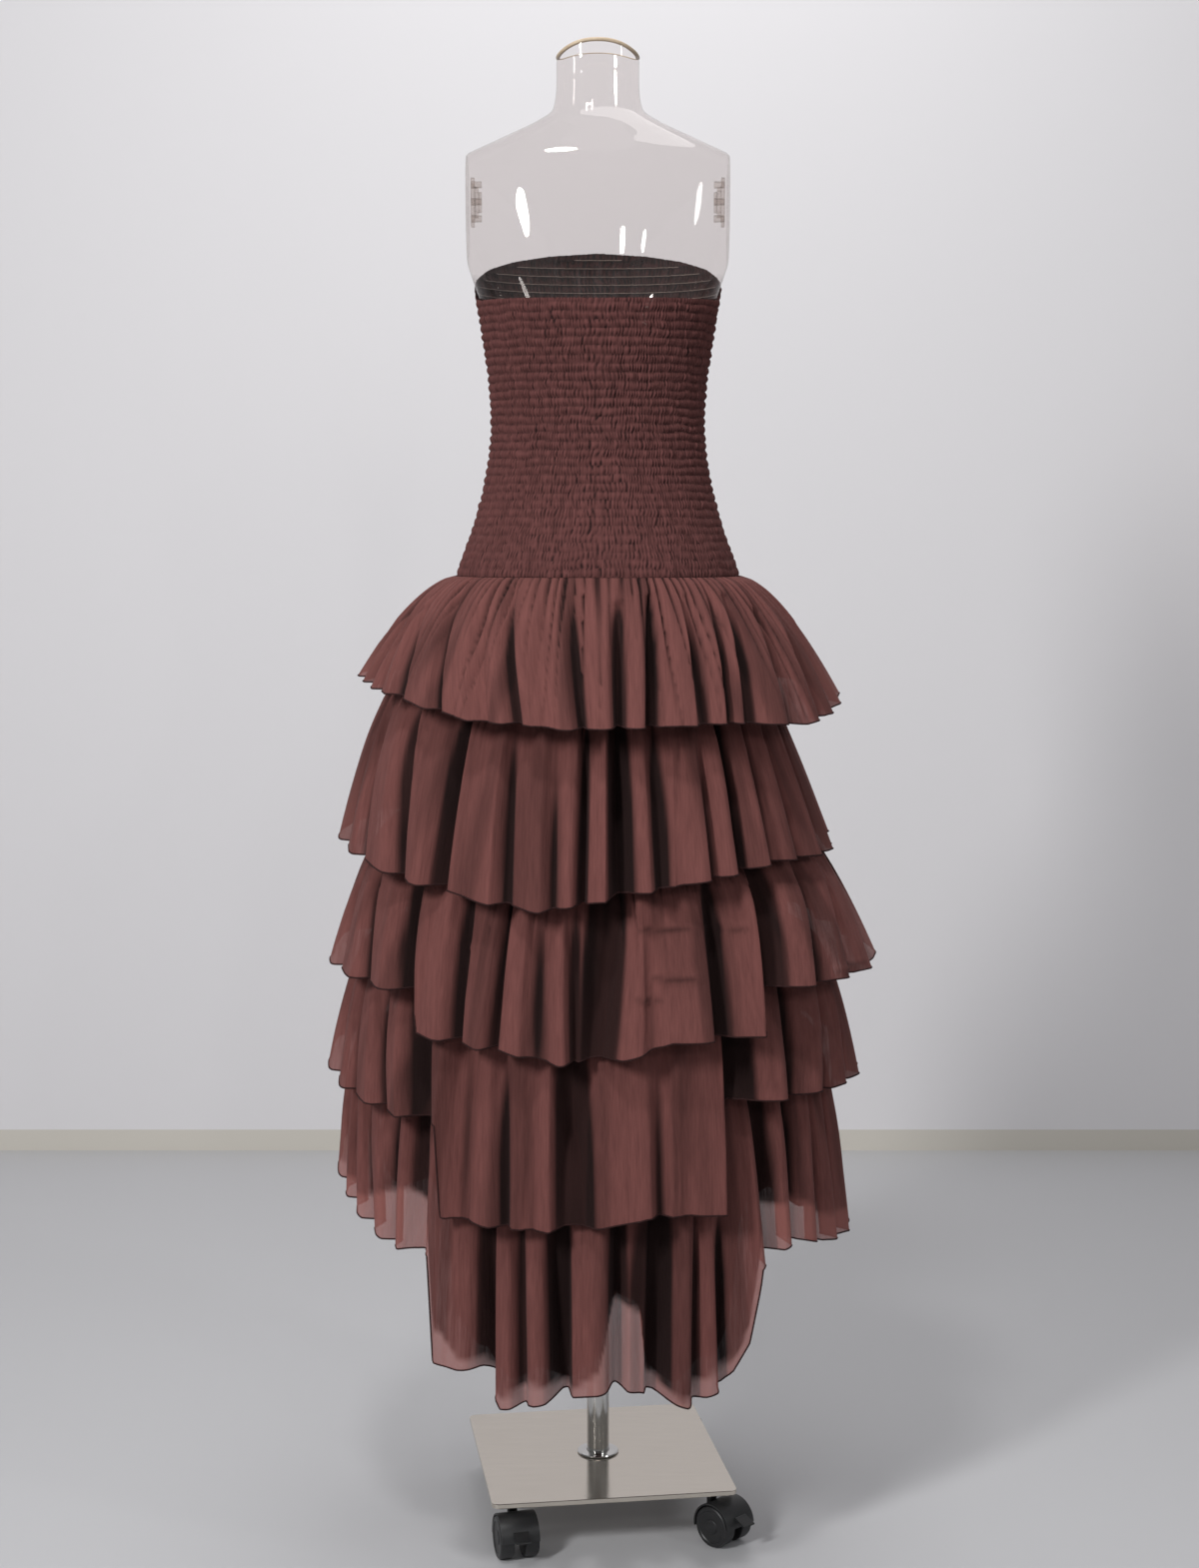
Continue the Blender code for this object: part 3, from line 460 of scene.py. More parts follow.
def tube_mesh(name, paths, radius, sides):
    """Round cords along paths of points."""
    verts, faces = [], []
    for path in paths:
        first = len(verts)
        count = len(path)
        across = Vector((0.3, 0.2, 1))
        for i, point in enumerate(path):
            before = path[max(i - 1, 0)]
            along = (path[min(i + 1, count - 1)] - before).normalized()
            across = (across - along * across.dot(along)).normalized()
            other = along.cross(across)
            for side in range(sides):
                turn = math.tau * side / sides
                verts.append(point + (across * math.cos(turn) + other * math.sin(turn)) * radius)
        for i in range(count - 1):
            k = i + 1
            for side in range(sides):
                after = (side + 1) % sides
                corners = (i * sides + side, i * sides + after, k * sides + after, k * sides + side)
                faces.append([first + corner for corner in corners])
    mesh = bpy.data.meshes.new(name)
    mesh.from_pydata(verts, [], faces)
    mesh.shade_smooth()
    return mesh


rim = neck_ring(-RIM_BEAD * 0.6)
near_count = FORM_COLUMNS // 4
near_rim = rim[-near_count:] + rim[: near_count + 1]
far_rim = rim[near_count : -near_count + 1]
for name, path, bead in (("back", near_rim, RIM_BEAD), ("front", far_rim, FAR_RIM_BEAD)):
    name = "form_neck_edge_" + name
    mesh_piece(name, tube_mesh(name, [path], bead, RIM_SIDES), cut_edge, STAND)

# Arm brackets
# Thick clear mouldings, glued inside the two arm faces to hold arms. Each has a rib and three lugs, and
# looks grey at its many edges.
BRACKET_HEIGHT = 1.620
BRACKET_FACE = 0.1521
BRACKET_OUTLINE = (
    (-0.004, -0.029), (0.004, -0.029), (0.009, -0.018), (0.009, 0.020),
    (0.005, 0.029), (-0.005, 0.029), (-0.009, 0.020), (-0.009, -0.018),
)
BRACKET_STEPS = ((0.004, 1.0), (0.0, 0.62), (0.005, 1.0), (0.0, 0.68), (0.0038, 1.0))
BRACKET_EASING = 0.0005
LUG_HEIGHTS = (-0.019, 0.001, 0.021)
LUG_MIDDLE = 0.0065
LUG = {"radius1": 0.0045, "radius2": 0.0040, "depth": 0.0125}
thick_plastic = new_material("thick_clear_plastic")
thick_place = node(thick_plastic, "TexCoord", {}).outputs["Object"]
thick_through = node(thick_plastic, "BsdfTransparent", {"Color": colour("#F1EEEC")})
thick_looks = {"Base Color": colour("#8B8683"), "Roughness": 0.12, "Specular IOR Level": 0.8}
thick_body = node(thick_plastic, "BsdfPrincipled", thick_looks)
thick_facing = node(thick_plastic, "LayerWeight", {"Blend": 0.35}).outputs["Facing"]
swirl = node(thick_plastic, "TexNoise", {"Vector": thick_place, "Scale": 130.0})
swirl = {0: thick_facing, 1: swirl.outputs["Fac"]}
thick_share = node(thick_plastic, "Math", swirl, operation="MULTIPLY").outputs[0]
thick_ends = {0: thick_share, 1: thick_through.outputs[0], 2: thick_body.outputs[0]}
finish_material(thick_plastic, node(thick_plastic, "MixShader", thick_ends))


def bracket_mesh(name, side):
    """A bracket on its arm face: a plate with a rib that narrows in steps, and three lugs."""
    bm = bmesh.new()
    face_plane = side * BRACKET_FACE
    face = bm.faces.new([bm.verts.new((face_plane, y, BRACKET_HEIGHT + z)) for y, z in BRACKET_OUTLINE])
    middle = Matrix.Translation((0, 0, -BRACKET_HEIGHT))
    for rise, narrower in BRACKET_STEPS:
        raised = bmesh.ops.extrude_face_region(bm, geom=[face])["geom"]
        face = next(item for item in raised if isinstance(item, bmesh.types.BMFace))
        bmesh.ops.translate(bm, verts=face.verts, vec=(-side * rise, 0, 0))
        bmesh.ops.scale(bm, verts=face.verts, vec=(1, narrower, narrower), space=middle)
    for lug in LUG_HEIGHTS:
        place = Matrix.Translation((side * (BRACKET_FACE - LUG_MIDDLE), 0, BRACKET_HEIGHT + lug))
        place = place @ Matrix.Rotation(math.pi / 2, 4, "Y")
        bmesh.ops.create_cone(bm, cap_ends=True, segments=20, matrix=place, **LUG)
    bmesh.ops.recalc_face_normals(bm, faces=bm.faces)
    bmesh.ops.bevel(bm, geom=list(bm.edges), offset=BRACKET_EASING, segments=2, profile=0.6, affect="EDGES")
    return finished_mesh(name, bm, crisp_from=180)


for side, node_name in ((-1, "arm_fitting_left"), (1, "arm_fitting_right")):
    moulding = node_name + "_moulding"
    mesh_piece(moulding, bracket_mesh(moulding, side), thick_plastic, STAND, [node_name])

# Underskirt
# A plain flared skirt of a sheer crinkled cotton voile, sewn to the bodice. The ruffles are sewn on it, one
# above the other. The voile's fine creases run down the cloth, and light shows through a single layer.
UNDERSKIRT = sections(
    (200, 284, 238, 228), (400, 280, 229, 219), (550, 264, 214, 205), (700, 243, 196, 188),
    (850, 225, 178, 169), (980, 206, 160, 150), (1100, 185, 139, 125), (1174.2, 170.9, 126.4, 111.4),
)
HIP_SEAM = UNDERSKIRT[-1].height
OVAL_BELOW = 0.25


def between(rows, column, at, value):
    """The value at a place, straight between the rows of a table sorted by a column."""
    if at <= getattr(rows[0], column):
        return getattr(rows[0], value)
    for low, high in zip(rows, rows[1:]):
        start, end = getattr(low, column), getattr(high, column)
        if at <= end:
            share = (at - start) / (end - start)
            return getattr(low, value) * (1 - share) + getattr(high, value) * share
    return getattr(rows[-1], value)


def underskirt_point(height, angle, out):
    """A point on the underskirt, moved out. Its section is the torso's at the top and an oval below."""
    oval_share = min(max((HIP_SEAM - height) / OVAL_BELOW, 0), 1)
    squareness = TORSO_SQUARENESS + (2 - TORSO_SQUARENESS) * oval_share
    return section_point(UNDERSKIRT, between, squareness, height, angle, out)


FINE_CREASES = (520, 30, 1)
WIDE_CREASES = (150, 14, 1)
THREADS = (1900, 1700, 1)
# A lighter tone painted in where a single sheer layer lets light through: painted light.
SHEER_PAINTED_LIGHT_TONE = "#965F59"


# Crinkled cotton voile: dull, with creases about 2 and 7 mm apart that run down it. Its threads are too fine
# to show, so they are drawn coarse, about 0.5 mm apart.
def voile(name, tones, deep, cover, sheen, painted_inside_shade=0.0):
    """Tones are the cloth's dark and light ones, and deep the dark colour painted in as shade where it lies
    in folds, creases and puckers. Cover is the share of light that one layer stops, and the last number how
    far the wrong side is darkened with that painted shade."""
    material = new_material(name)
    place = node(material, "UVMap", {}, uv_map="cloth").outputs[0]
    patterns = []
    for per_metre, detail in ((FINE_CREASES, 3.0), (WIDE_CREASES, 4.0), (THREADS, 1.0)):
        size = node(material, "VectorMath", {0: place, 1: per_metre}, operation="MULTIPLY")
        pattern = {"Vector": size.outputs[0], "Scale": 1.0, "Detail": detail}
        patterns.append(node(material, "TexNoise", pattern).outputs["Fac"])
    fine, wide, thread = patterns
    creases = node(material, "Math", {0: fine, 1: wide}, operation="ADD").outputs[0]
    weave = {0: thread, 1: 0.22, 2: creases}
    height = node(material, "Math", weave, operation="MULTIPLY_ADD").outputs[0]
    raised = {"Value": height, "From Min": 0.75, "From Max": 1.45}
    share = node(material, "MapRange", raised).outputs[0]
    # Painted shade: the colour is mixed toward the deep tone by a point attribute that marks where the cloth
    # lies in shade, in folds, creases, puckers and whole panels, and on the wrong side by the number given
    # for it.
    painted_shade = node(material, "Attribute", {}, attribute_name="painted_shade").outputs["Fac"]
    wrong_side = node(material, "NewGeometry", {}).outputs["Backfacing"]
    depth = {0: wrong_side, 1: painted_inside_shade, 2: painted_shade}
    depth = node(material, "Math", depth, operation="MULTIPLY_ADD").outputs[0]
    tone = {0: share, 6: colour(tones[0]), 7: colour(tones[1])}
    tone = node(material, "Mix", tone, data_type="RGBA").outputs[2]
    tone_with_painted_shade = {0: depth, 6: tone, 7: colour(deep)}
    tone_with_painted_shade = node(material, "Mix", tone_with_painted_shade, data_type="RGBA").outputs[2]
    # Painted light: where the cloth is a single sheer layer, its colour is lifted toward a lighter tone that
    # stands in for light shining through it; the lower alpha there is the real see-through.
    sheer = node(material, "Attribute", {}, attribute_name="sheer").outputs["Fac"]
    lit = node(material, "Math", {0: sheer, 1: 0.80}, operation="MULTIPLY").outputs[0]
    seen = {0: lit, 6: tone_with_painted_shade, 7: colour(SHEER_PAINTED_LIGHT_TONE)}
    bumps = {"Height": height, "Strength": 0.55, "Distance": 0.0011}
    stops = {"Value": share, "To Min": cover + 0.03, "To Max": cover - 0.03}
    left = {0: sheer, 1: -0.16, 2: node(material, "MapRange", stops).outputs[0]}
    looks = {
        "Base Color": node(material, "Mix", seen, data_type="RGBA").outputs[2],
        "Roughness": 0.92,
        "Specular IOR Level": 0.2,
        "Sheen Weight": sheen,
        "Sheen Roughness": 0.5,
        "Sheen Tint": colour("#B08A88"),
        "Alpha": node(material, "Math", left, operation="MULTIPLY_ADD").outputs[0],
        "Normal": node(material, "Bump", bumps).outputs[0],
    }
    return finish_material(material, node(material, "BsdfPrincipled", looks))


# The underskirt's deep tone is painted shade, but no shade is marked on its points, so it stays unused.
underskirt_cloth = voile("underskirt_voile", ("#3C2322", "#523231"), "#1A0D0D", 0.975, 0.04)

# A rolled hem is three layers of the same voile, so it is darker than the cloth above it.
hem_cloth = grained_material(
    "rolled_hem",
    scale=300.0,
    tones=("#1E0F0F", "#3A2120"),
    bumps=Bumps(300.0, 2.0, 0.4, 0.0006),
    fixed={"Roughness": 0.9, "Specular IOR Level": 0.2},
)

# How far the underskirt's hem hangs above the last ruffle's, in millimetres round the body.
Above = namedtuple("Above", "angle height")
ABOVE_HEM = [
    Above(angle, height / 1000)
    for angle, height in (
        (-90, 20), (-62, 30), (-53, 60), (-47, 75), (-41, 40), (-36, 44), (-30, 16), (-24, 12), (-14, 30),
        (-6, 12), (0, 30), (2, 80), (4, 104), (10, 98), (11.5, 30), (18, 12), (25, 30), (32, 16), (36, 34),
        (40, 60), (50, 52), (62, 34), (90, 30), (140, 50), (180, 42), (225, 30), (270, 20),
    )
]
UNDERSKIRT_COLUMNS = 160
UNDERSKIRT_ROWS = 90
UNDERSKIRT_RADIUS = 0.25
UNDERSKIRT_FLAT_RADIUS = 0.23
CALM_BY_SEAM = 6
WAVE = 0.006
WAVE_WIDTH = 0.05
CORD_SIDES = 5
UNDERSKIRT_HEM_RADIUS = 0.0009


def hem_cord(name, path, radius):
    """The rolled hem along a sheet's lower edge."""
    return mesh_piece(name, tube_mesh(name, [path], radius, CORD_SIDES), hem_cloth, STAND)


def underskirt_hem(angle):
    return between(TIER_5_HEM, "angle", angle, "height") + between(ABOVE_HEM, "angle", angle, "height")


def underskirt_panel(half, first_angle, seed):
    """Half the underskirt, in soft waves. Its rolled hem runs unevenly above the last ruffle's."""
    angles = [first_angle + 180 * column / UNDERSKIRT_COLUMNS for column in range(UNDERSKIRT_COLUMNS + 1)]
    points, marks = [], []
    for row in range(UNDERSKIRT_ROWS + 1):
        level = row / UNDERSKIRT_ROWS
        line, places = [], []
        for angle in angles:
            height = HIP_SEAM + (underskirt_hem(angle) - HIP_SEAM) * level
            girth = math.radians(angle) * UNDERSKIRT_RADIUS
            from_seam = min(angle - first_angle, first_angle + 180 - angle) / CALM_BY_SEAM
            wave = WAVE * noise.noise(Vector((girth / WAVE_WIDTH, level, seed))) - WAVE / 2
            line.append(underskirt_point(height, angle, wave * level * min(from_seam, 1)))
            places.append((math.radians(angle) * UNDERSKIRT_FLAT_RADIUS, height))
        points.append(line)
        marks.append(places)
    name = f"underskirt_{half}_cloth"
    mesh = sheet_mesh(name, points, marks)
    cloth = mesh_piece(name, mesh, underskirt_cloth, STAND, ["underskirt_" + half])
    edge = hem_cord(name + "_hem", points[-1], UNDERSKIRT_HEM_RADIUS)


# The last ruffle's hem round the body, which the underskirt's follows: height and reach from the pole in
# millimetres, and how fast the ruffle stands off (small is fast).
Hem = namedtuple("Hem", "angle height reach flare")


def hem_line(*rows):
    return [Hem(angle, height / 1000, reach / 1000, flare) for angle, height, reach, flare in rows]


TIER_5_HEM = hem_line(
    (-90, 458, 319, 0.18), (-63, 412, 318, 0.30), (-52, 394, 317, 0.40), (-40, 387, 316, 0.50),
    (-38, 263, 316, 0.50), (-27, 264, 315, 0.60), (-21, 222, 315, 0.62), (-10, 234, 314, 0.65),
    (3, 248, 314, 0.65), (19, 226, 314, 0.62), (29, 242, 314, 0.60), (34, 291, 314, 0.58),
    (37, 376, 314, 0.56), (48, 400, 314, 0.55), (60, 384, 314, 0.52), (90, 369, 315, 0.50),
    (135, 460, 310, 0.45), (180, 510, 306, 0.45), (225, 490, 312, 0.32), (270, 458, 319, 0.18),
)

underskirt_panel("back", -90, 41.0)
underskirt_panel("front", 90, 42.0)

# Shirred bodice
# Two voile panels, sewn in level rows with elastic thread that draws each row up into a puff.
# A narrow frill stands above the last row, and the front's top edge is a high arch.
BODICE_BOTTOM = 1.1745
BODICE_RADIUS = 0.14
BODICE_FLAT_RADIUS = 0.30
SHIRRING_PITCH = 0.010
LINING_GAP = 0.0012
STITCH_LINE_WALL = 0.0012
PUFF = 0.0030
PUCKER = 0.0011
PUCKER_WIDTH = 0.0038
FRILL = 0.0065
FAINT_PUFFS_BELOW = 1.20
FAINT_PUFFS_OVER = 0.14
NOISE_SHIFT = 7.31
RIM_WAVER = 0.0008
BODICE_COLUMNS = 480
ROWS_PER_PUFF = 5
Rim = namedtuple("Rim", "angle height")
RIM = [
    Rim(angle, height / 1000)
    for angle, height in (
        (-90, 1506), (-72, 1501), (0, 1498.5), (72, 1501), (90, 1506), (97, 1518), (108, 1532), (126, 1549),
        (144, 1561), (162, 1569), (180, 1573), (198, 1569), (216, 1561), (234, 1549), (252, 1532),
        (263, 1518), (270, 1506),
    )
]
# The bodice's deep tone is painted shade in its puckers and along its stitch lines, and its wrong side is
# darkened 0.6 of the way to it as painted shade on the inside.
shirred_cloth = voile("shirred_voile", ("#4A2B29", "#6C4240"), "#180C0C", 0.995, 0.06, painted_inside_shade=0.6)


def shirred_point(angle, height, rim_height, seed):
    """A point of the bodice's cloth and how much painted shade darkens it. Level puffs fade toward the hip.
    """
    girth = math.radians(angle) * BODICE_RADIUS + NOISE_SHIFT
    drift = 0.24 * noise.noise(Vector((girth / 0.03, height / 0.03, seed)))
    row = (height - BODICE_BOTTOM) / SHIRRING_PITCH + drift
    full = min(max((height - FAINT_PUFFS_BELOW) / FAINT_PUFFS_OVER, 0), 1)
    puff = abs(math.sin(math.pi * row)) ** 0.75 * (0.45 + 0.55 * full)
    puff *= 0.8 + 0.5 * noise.noise(Vector((girth / 0.006, math.floor(row) * 3.7, seed + 9)))
    number = math.floor(row)
    phase = girth / PUCKER_WIDTH + 0.9 * noise.noise(Vector((girth / 0.010, number * 1.7, seed + 20)))
    phase += 1.1 * noise.noise(Vector((girth / 0.030, height / 0.022, seed + 31)))
    strength = 0.72 + 1.2 * noise.noise(Vector((girth / 0.007, height / 0.007, seed + 40)))
    pucker = math.sin(math.tau * phase) * max(strength, 0.1)
    frill = min(max((height - rim_height + FRILL) / FRILL, 0), 1)
    out = LINING_GAP + STITCH_LINE_WALL + PUFF * puff * (1 - frill) + PUCKER * pucker * (0.6 + 0.4 * puff)
    out += frill * (0.0008 + 0.0010 * noise.noise(Vector((girth / 0.005, 4.0, seed))))
    # Painted shade: the colour darkens in the pucker hollows and along the stitch lines, more where puffs
    # are full.
    painted_stitch_shade = (1 - abs(math.sin(math.pi * row))) ** 3 * (0.15 + 0.35 * full) * (1 - frill)
    painted_shade = min(0.95 * max(-pucker, 0) ** 1.4 + painted_stitch_shade, 0.92)
    return torso_point(min(height, rim_height), angle, max(out, LINING_GAP)), painted_shade


def shirred_panel(half, first_angle, seed):
    """Half the bodice. Its rows of points follow the top edge, so that the arch has a clean line."""
    angles = [first_angle + 180 * column / BODICE_COLUMNS for column in range(BODICE_COLUMNS + 1)]
    rims = [between(RIM, "angle", angle, "height") for angle in angles]
    rims = [rim + RIM_WAVER * noise.noise(Vector((angle, 0, seed))) for rim, angle in zip(rims, angles)]
    count = int((max(rims) - BODICE_BOTTOM) / SHIRRING_PITCH * ROWS_PER_PUFF)
    points, marks, painted_shades = [], [], []
    for row in range(count + 1):
        share = row / count
        heights = [BODICE_BOTTOM + (rim - BODICE_BOTTOM) * share for rim in rims]
        made = [shirred_point(angle, z, rim, seed) for angle, z, rim in zip(angles, heights, rims)]
        points.append([point for point, painted_shade in made])
        painted_shades.append([painted_shade for point, painted_shade in made])
        marks.append([(math.radians(angle) * BODICE_FLAT_RADIUS, z) for angle, z in zip(angles, heights)])
    name = f"bodice_{half}_cloth"
    mesh = sheet_mesh(name, points, marks, painted_shades=painted_shades)
    return mesh_piece(name, mesh, shirred_cloth, STAND, ["bodice_" + half])


bodice_back = shirred_panel("back", -90, 1.0)
bodice_front = shirred_panel("front", 90, 2.0)

# Elastic threads
# Pale covered rubber, wound on the bobbin by hand. It lies along every stitch line inside the bodice and
# draws the row together.
THREAD_RADIUS = 0.00045
THREAD_OUT = LINING_GAP * 0.55
THREAD_WOBBLE = 0.0006
THREAD_STEPS = 110
THREAD_SIDES = 4
HIGHEST_THREAD = 1.566
elastic = grained_material("elastic_thread", 420.0, tones=("#5E4A46", "#B9ABA0"), fixed={"Roughness": 0.7})


def elastic_rows(first_angle):
    """Threads along the stitch lines of half the bodice, each broken off where it meets the frill."""
    paths = []
    row = 1
    while BODICE_BOTTOM + row * SHIRRING_PITCH < HIGHEST_THREAD:
        height = BODICE_BOTTOM + row * SHIRRING_PITCH
        path = []
        for step in range(THREAD_STEPS + 1):
            angle = first_angle + 180 * step / THREAD_STEPS
            if between(RIM, "angle", angle, "height") < height + FRILL:
                if len(path) > 1:
                    paths.append(path)
                path = []
                continue
            wobble = THREAD_WOBBLE * noise.noise(Vector((angle / 2, row, 3.0)))
            path.append(torso_point(height + wobble, angle, THREAD_OUT))
        if len(path) > 1:
            paths.append(path)
        row += 1
    return paths


for half, cloth, first_angle, flat in (
    ("back", bodice_back, -90, (0.56, 0.36)),
    ("front", bodice_front, 90, (0.56, 0.43)),
):
    name = f"bodice_{half}_elastic"
    mesh = tube_mesh(name, elastic_rows(first_angle), THREAD_RADIUS, THREAD_SIDES)
    threads = mesh_piece(name, mesh, elastic, STAND)

# Ruffle 5
# The fifth ruffle, of the same voile, ends the train. Below the underskirt it is a single layer, and so the
# most see-through. Like each ruffle it is a straight-topped strip, gathered to its seam line and left to
# fall in broad, uneven folds.
Stop = namedtuple("Stop", "angle stand")
# A seam has its heights at centre back, sides and centre front.
Seam = namedtuple("Seam", "back side front dip depth_ratio")
Valley = namedtuple("Valley", "angle half_width depth top lean left right")
Crease = namedtuple("Crease", "angle half_width height rise")
Following = namedtuple("Following", "seam hem")
Cut = namedtuple("Cut", "valleys flat area creases", defaults=((),))
RUFFLE_RADIUS = 0.3
RUFFLE_COLUMNS = 440
RUFFLE_ROWS = 40
GATHER_WIDTH = 0.0170
GATHER_DEPTH = 0.0115
RIPPLE = 0.0050
# Painted shade on the ruffles: soft patches where the ripples sink, and random panels about 30 mm wide.
SOFT_SHADE = 0.30
PANEL_WIDTH = 0.030
PANEL_SHADE = 0.38
SEAM_STANDOFF = 0.0035
FOLD_CLEARANCE = 0.0020
NEXT_CLEARANCE = 0.010
PINCH = 0.10
PANEL_TILT = 1.6
LAST_PANEL = 20
# The valley depth in metres that sets how deep a valley must be for its painted shade to be full.
FULL_PAINTED_SHADE_DEPTH = 0.016
SKEW = 0.42
SHEER_EDGE = 0.010
# How sheer a ruffle's side tips are, and how far the painted light of a single layer lifts their colour.
TIP_SHEER = 0.4
PRESSED_WIDTH = 0.0034
# How dark the painted shade along a pressed crease is, for each metre that the crease rises.
PRESSED_PAINTED_SHADE = 190
HEM_RADIUS = 0.0010
CALM_WIDTH = 5
GATHER_LENGTH = 0.10
# Its deep tone is the painted shade of valleys, gathering creases, pressed creases, sunk ripples and random
# panels.
ruffle_cloth = voile("crinkled_voile", ("#5E3835", "#754844"), "#1B0C0B", 0.985, 0.08)


def valleys(*rows):
    """Rows of a valley between two folds: its place and half its width in degrees, its depth in millimetres,
    where down the ruffle it starts, by how many degrees it leans at the top, and how many millimetres the
    cloth at its left and right stands proud."""
    return [
        Valley(angle, half_width, depth / 1000, top, lean, left / 1000, right / 1000)
        for angle, half_width, depth, top, lean, left, right in rows
    ]


def seam_height(seam, angle):
    fore = math.cos(math.radians(angle))
    end = seam.back if fore > 0 else seam.front
    return seam.side + (end - seam.side) * abs(fore) ** seam.dip


def gather(girth, level, length, seed):
    """The depth of a seam crease here, about 1 at most. Each fades out over a length of its own."""
    phase = girth / GATHER_WIDTH + 0.5 * noise.noise(Vector((girth / 0.03, level * 0.8, seed)))
    own = noise.noise(Vector((math.floor(phase) * 2.31, seed, 5.0)))
    fade = math.exp(-level / max(length * (1 + 2.4 * own), 0.03))
    groove = max(0, 1 - 1.35 * abs(math.sin(math.pi * phase)))
    return (0.75 + own) * groove * fade


def hanging_point(seam, hem, angle, level):
    """A point of a ruffle's mean surface, without folds, from the seam at level 0 to the hem at 1."""
    top = underskirt_point(seam_height(seam, angle), angle, SEAM_STANDOFF)
    turn = math.radians(angle)
    reach = between(hem, "angle", angle, "reach")
    low = between(hem, "angle", angle, "height")
    outward = level ** between(hem, "angle", angle, "flare")
    x = top.x + (reach * math.sin(turn) - top.x) * outward
    y = top.y + (-reach * seam.depth_ratio * math.cos(turn) - top.y) * outward
    return Vector((x, y, top.z + (low - top.z) * level))


def least_radius(angle, height, following):
    """How near the pole a fold may go here: to the underskirt, or to the next ruffle beneath."""
    under = underskirt_point(height, angle, FOLD_CLEARANCE)
    least = math.hypot(under.x, under.y)
    if following:
        top = seam_height(following.seam, angle)
        low = between(following.hem, "angle", angle, "height")
        if height < top:
            level = min((top - height) / (top - low), 1)
            beneath = hanging_point(following.seam, following.hem, angle, level)
            least = max(least, math.hypot(beneath.x, beneath.y) + NEXT_CLEARANCE)
    return least


def steep(value):
    """0 at 0 and 1 at 1, rising fastest halfway, so a tone that follows it has a clear edge."""
    value = min(max(value, 0), 1)
    return value * value * (3 - 2 * value)


def ruffle_point(seam, hem, angle, level, valley, calm, seed, length, following):
    """A point of a ruffle, from the seam at level 0 to the hem at 1, and how much painted shade darkens it.
    """
    point = hanging_point(seam, hem, angle, level)
    far = math.hypot(point.x, point.y)
    girth = math.radians(angle) * RUFFLE_RADIUS
    ripple = noise.noise(Vector((girth / 0.046, level * 0.9, seed + 3)))
    ripple += 0.05 * noise.noise(Vector((girth / 0.013, level * 1.6, seed + 6)))
    ripple *= math.sin(math.pi * min(level + 0.12, 0.9)) ** 0.7
    crease = gather(girth, level, length, seed)
    inward = valley + (GATHER_DEPTH * crease - RIPPLE * ripple) * calm
    least = min(least_radius(angle, point.z, following), far)
    scale = max(1 - inward / far, least / far)
    lift = 0.05 * valley * level**2 + 0.0012 * noise.noise(Vector((girth / 0.03, 7.0, seed))) * level * calm
    # Painted shade: random panels, sunk ripples, gathering creases and deep valleys darken the colour.
    painted_panel_shade = steep(2.2 * noise.noise(Vector((girth / PANEL_WIDTH, level * 0.6 + seed, seed + 8))))
    shade = SOFT_SHADE * max(-ripple, 0) + 0.9 * steep(1.5 * crease) + PANEL_SHADE * painted_panel_shade
    painted_shade = min(0.92 * steep((valley / FULL_PAINTED_SHADE_DEPTH - 0.40) / 0.45) + shade * calm, 1)
    return Vector((point.x * scale, point.y * scale, point.z + lift)), painted_shade


def panel_stand(rows, angle):
    """How far the cloth stands proud here, straight from one valley's right side to the next one's left."""
    stops = [Stop(rows[0].angle - LAST_PANEL, 0)]
    for valley in rows:
        stops.append(Stop(valley.angle - valley.half_width / 2, valley.left))
        stops.append(Stop(valley.angle + valley.half_width / 2, valley.right))
    stops.append(Stop(rows[-1].angle + LAST_PANEL, 0))
    return PANEL_TILT * between(stops, "angle", angle, "stand")


def pressed(creases, angle, point):
    """How far level creases, pressed in when the dress lay folded, raise the cloth here."""
    raised = 0
    for crease in creases:
        across = max(1 - ((angle - crease.angle) / crease.half_width) ** 2, 0)
        raised += crease.rise * across**0.5 * math.exp(-(((point.z - crease.height) / PRESSED_WIDTH) ** 2))
    return raised


def sheer_share(angle, level, height):
    """How sheer the cloth is, and how far a lighter tone painted in for light shining through lifts its
    colour:
    most below the underskirt's hem, and a little at a ruffle's side tips.
    """
    below = steep((underskirt_hem(angle) - height) / SHEER_EDGE)
    tip = steep((abs(math.sin(math.radians(angle))) - 0.93) / 0.07) * steep((level - 0.45) / 0.55)
    return max(below, TIP_SHEER * tip)


